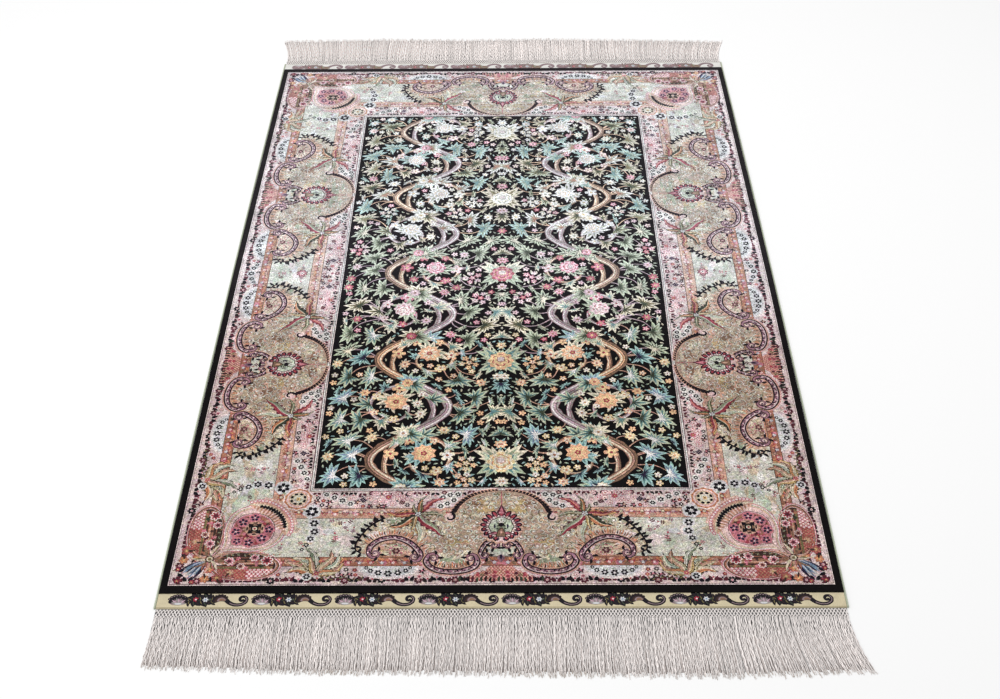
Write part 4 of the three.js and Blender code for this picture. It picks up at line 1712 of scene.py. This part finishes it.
def dress(tree, shader, colour, shade, height, depth, strength):
    """Gives a material its colour, made lighter or darker by a shade, and its bump."""
    tint = add_node(tree, "VectorMath", {0: colour, "Scale": shade}, operation="SCALE")
    bump = add_node(tree, "Bump", {"Distance": depth, "Strength": strength, "Height": height})
    tree.links.new(tint.outputs[0], shader.inputs["Base Color"])
    tree.links.new(bump.outputs[0], shader.inputs["Normal"])


def dye_and_place(tree):
    """The charted dyes, and where on the piece a point is."""
    dye = add_node(tree, "Attribute", attribute_name="dye").outputs["Color"]
    return dye, add_node(tree, "TexCoord").outputs["Object"]


KNOT = 1.1 * MM
# A painted sheen: where the nap turns from the near look to the far one, in metres, and what
# changes there in the dye: its tint, its contrast and its saturation.
SHEEN_TURN = (-0.30, 0.05)
NEAR_SHEEN_TINT = (0.88, 0.85, 0.84, 1.0)
FAR_SHEEN_TINT = (0.99, 1.03, 1.075, 1.0)
SHEEN_GAMMA = (1.0, 0.74)
SHEEN_SATURATION = (0.9, 0.78)
# Painted light and shade along the rug: how light the pile is painted at places, in metres from its middle.
PAINTED_LIGHT_ALONG = [(-0.75, 0.965), (-0.45, 0.99), (-0.27, 0.95), (-0.10, 1.0), (0.20, 1.03), (0.35, 1.02),
             (0.50, 0.955), (0.75, 0.97)]
PAINTED_LIGHT_REACH = (0.9, 1.1)
PAINTED_LIGHT_LENGTH = 1.5


def silk_pile():
    """Dyed silk pile: knot by knot and row by row shade changes over the charted dyes, with painted sheen
    and shade.
    """
    material, tree, shader = new_material("silk_pile", 0.6, 0.05, 0.02, 0.35)
    dye, place = dye_and_place(tree)
    flat = stretched(tree, place, (1.0, 1.0, 0.0))

    # each knot is its own small cell, a little lighter or darker than the next
    cells = add_node(tree, "TexVoronoi", {"Vector": flat, "Scale": 1 / KNOT, "Randomness": 0.65})
    knot_shade = add_node(tree, "SeparateColor", {0: cells.outputs["Color"]})
    shade = span(tree, knot_shade.outputs[0], 0.6, 1.4)

    # tufts of a few knots catch the light together, and the pile leans in soft patches: both are painted
    # light and shade in the dye
    tufts = span(tree, noise(tree, flat, 470.0, 2.0, 0.7), -0.3, 2.3)
    lean = span(tree, noise(tree, flat, 30.0, 3.0, 0.6), 0.3, 1.7)
    rows = span(tree, noise(tree, stretched(tree, place, (2.0, 260.0, 0.0)), 1.0), 0.85, 1.15)
    mottle = span(tree, noise(tree, flat, 210.0, 2.0, 0.6), 0.4, 1.6)
    for more in (tufts, lean, rows, mottle):
        shade = worked_out(tree, "MULTIPLY", shade, more)

    # the nap lies towards the near end, so the far half gives back more light, and cooler: a painted sheen
    # in the dye, with painted light and shade along the rug
    y = add_node(tree, "SeparateXYZ", {0: place}).outputs["Y"]
    turn = {"Value": y, "From Min": SHEEN_TURN[0], "From Max": SHEEN_TURN[1]}
    along = add_node(tree, "MapRange", turn, interpolation_type="SMOOTHSTEP").outputs["Result"]
    nap = mixed(tree, "MIX", along, NEAR_SHEEN_TINT, FAR_SHEEN_TINT)
    steps = add_node(tree, "ValToRGB", {"Fac": worked_out(tree, "MULTIPLY_ADD", y, 1 / PAINTED_LIGHT_LENGTH, 0.5)})
    stops = steps.color_ramp.elements
    for k, (at, light) in enumerate(PAINTED_LIGHT_ALONG):
        stop = stops[k] if k < 2 else stops.new(0.5)
        stop.position = at / PAINTED_LIGHT_LENGTH + 0.5
        stop.color = [(light - PAINTED_LIGHT_REACH[0]) / (PAINTED_LIGHT_REACH[1] - PAINTED_LIGHT_REACH[0])] * 3 + [1.0]
    shade = worked_out(tree, "MULTIPLY", shade, span(tree, steps.outputs["Color"], *PAINTED_LIGHT_REACH))

    # silk lots within one shape drift a little in hue
    lot = noise(tree, flat, 170.0, 2.0, 0.6, "Color")
    drift = mixed(tree, "OVERLAY", 0.3, dye, lot)
    gamma, saturation = span(tree, along, *SHEEN_GAMMA), span(tree, along, *SHEEN_SATURATION)
    paled = add_node(tree, "Gamma", {"Color": drift, "Gamma": gamma}).outputs["Color"]
    muted = add_node(tree, "HueSaturation", {"Color": paled, "Saturation": saturation})
    lit = mixed(tree, "MULTIPLY", 1.0, muted.outputs["Color"], nap)
    height = worked_out(tree, "MULTIPLY", cells.outputs["Distance"], -1.0)
    dress(tree, shader, lit, shade, height, 0.4 * MM, 0.6)
    return material


def flat_weave():
    """The bands' flat weave: fine crosswise ribs over the charted dyes."""
    material, tree, shader = new_material("flat_weave", 0.6, 0.12, 0.03, 0.4)
    dye, place = dye_and_place(tree)
    threads = noise(tree, stretched(tree, place, (900.0, 240.0, 0.0)), 1.0)
    patches = noise(tree, stretched(tree, place, (1.0, 1.0, 0.0)), 60.0, 3.0)
    shade = worked_out(tree, "MULTIPLY", span(tree, threads, 0.8, 1.2), span(tree, patches, 0.85, 1.15))
    dress(tree, shader, dye, shade, threads, 0.4 * MM, 0.5)
    return material


def fringe_silk():
    """Silver silk thread with a twist along each strand, lighter and darker along the twist as painted light
    and shade.
    """
    material, tree, shader = new_material("fringe_silk", 0.42, 0.5, 0.4, 0.3)
    dye, place = dye_and_place(tree)
    twist = noise(tree, stretched(tree, place, (520.0, 190.0, 300.0)), 1.0, 1.0)
    # the twist bumps the thread and also lightens and darkens its dye, a painted light and shade
    dress(tree, shader, dye, span(tree, twist, 0.8, 1.3), twist, 0.3 * MM, 0.5)
    return material


def cord_silk():
    """The thread wrapped round the side cords."""
    material, tree, shader = new_material("cord_silk", 0.5, 0.3, 0.1, 0.3)
    place = add_node(tree, "TexCoord").outputs["Object"]
    wraps = noise(tree, stretched(tree, place, (60.0, 1500.0, 60.0)), 1.0, 1.0)
    light, dark = ((*linear(SILKS[dye]), 1.0) for dye in ("cord light", "cord dark"))
    colour = mixed(tree, "MIX", noise(tree, place, 14.0, 3.0), light, dark)
    dress(tree, shader, colour, span(tree, wraps, 0.75, 1.2), wraps, 0.4 * MM, 0.6)
    return material


# The camera is the photograph's: 1000 by 699 pixels, its focal length in those pixels, and
# its place in metres from the middle of the pile's top.
PHOTO_WIDTH = 1000
PHOTO_FOCAL = 1356.0
CAMERA_PLACE = (0.0161, -1.998, 1.579)
CAMERA_TURN = (48.42, 0.457, 0.203)
FLOOR_HALF = 12.0


def add_camera():
    lens = bpy.data.cameras.new("camera")
    lens.sensor_width = 36.0
    lens.sensor_fit = "HORIZONTAL"
    lens.lens = PHOTO_FOCAL * lens.sensor_width / PHOTO_WIDTH
    lens.clip_end = 50.0
    camera = linked("camera", lens)
    camera.location = Vector(CAMERA_PLACE) + Vector((MIDDLE.x, MIDDLE.y, PILE_TOP))
    camera.rotation_euler = [math.radians(turn) for turn in CAMERA_TURN]
    bpy.context.scene.camera = camera


def add_lamp(name, place, size, power):
    """A square lamp that points at the rug's middle."""
    lamp = bpy.data.lights.new(name, "AREA")
    lamp.shape = "RECTANGLE"
    lamp.size = lamp.size_y = size
    lamp.energy = power
    piece = linked(name, lamp)
    piece.location = place
    piece.rotation_euler = (-Vector(place)).to_track_quat("-Z", "Y").to_euler()


def add_studio():
    """A white floor, a pale surround and two large soft lamps."""
    bpy.context.scene.view_settings.view_transform = "Standard"
    world = bpy.data.worlds.new("studio")
    bpy.context.scene.world = world
    world.use_nodes = True
    surround = world.node_tree.nodes["Background"]
    surround.inputs["Color"].default_value = (1.0, 1.0, 1.0, 1.0)
    surround.inputs["Strength"].default_value = 0.62
    add_lamp("overhead", (0.0, 0.6, 3.4), 3.4, 62.0)
    add_lamp("side_left", (-2.8, -1.2, 2.0), 1.8, 22.0)
    mesh = bpy.data.meshes.new("floor")
    corners = [(x * FLOOR_HALF, y * FLOOR_HALF, 0) for x, y in ((-1, -1), (1, -1), (1, 1), (-1, 1))]
    mesh.from_pydata(corners, [], [(0, 1, 2, 3)])
    material, _, shader = new_material("floor_paint", 0.9, 0.1)
    shader.inputs["Base Color"].default_value = (0.94, 0.94, 0.94, 1.0)
    mesh.materials.append(material)
    floor = linked("floor", mesh)


FIELD_SEED = 5
BORDER_SEEDS = {"near": 3, "far": 4}
FRINGE_SEED = 5


def pile_quarters(material):
    """Four pieces that meet at the rug's centre lines, mirrored from two charts."""
    pieces = []
    half = field_half(random.Random(FIELD_SEED))
    for end, side_y in (("near", -1), ("far", 1)):
        shapes = border_quarter(random.Random(BORDER_SEEDS[end])) + field_quarter(half, side_y > 0)
        chart = flat_partition(shapes, (0, 0, END_HALF, SIDE_HALF))
        for side, side_x in (("left", -1), ("right", 1)):
            def to_rug(x, y, sx=side_x, sy=side_y):
                x, y = hand_drawn(sx * (END_HALF - x) * MM, sy * (SIDE_HALF - y) * MM)
                return widen(x, y), y
            piece = slab_from_chart(f"pile_{end}_{side}", chart, to_rug, PILE_TOP, material, {})
            pieces.append(piece)
    return pieces


def claim(piece, slot, *nodes):
    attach(piece, "root")
    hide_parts(*nodes)


add_camera()
add_studio()
for piece in pile_quarters(silk_pile()):
    claim(piece, "pile", "rug_body")

strand_material = fringe_silk()
for band_piece, (node, row) in zip(end_bands(flat_weave()), FRINGES.items()):
    claim(band_piece, "pile", "rug_body")
    name = node.replace("fringe", "strands")
    rng = np.random.default_rng(row["end"] + FRINGE_SEED)
    piece = fringe(name, **row, material=strand_material, rng=rng)
    claim(piece, "fringe", node)

thread_material = cord_silk()
for side_name, side in (("left", -1), ("right", 1)):
    for half_name, half in (("near", -1), ("far", 1)):
        piece = side_cord(f"cord_{side_name}_{half_name}", side, half, thread_material)
        claim(piece, "side_cord", f"side_cord_{side_name}")
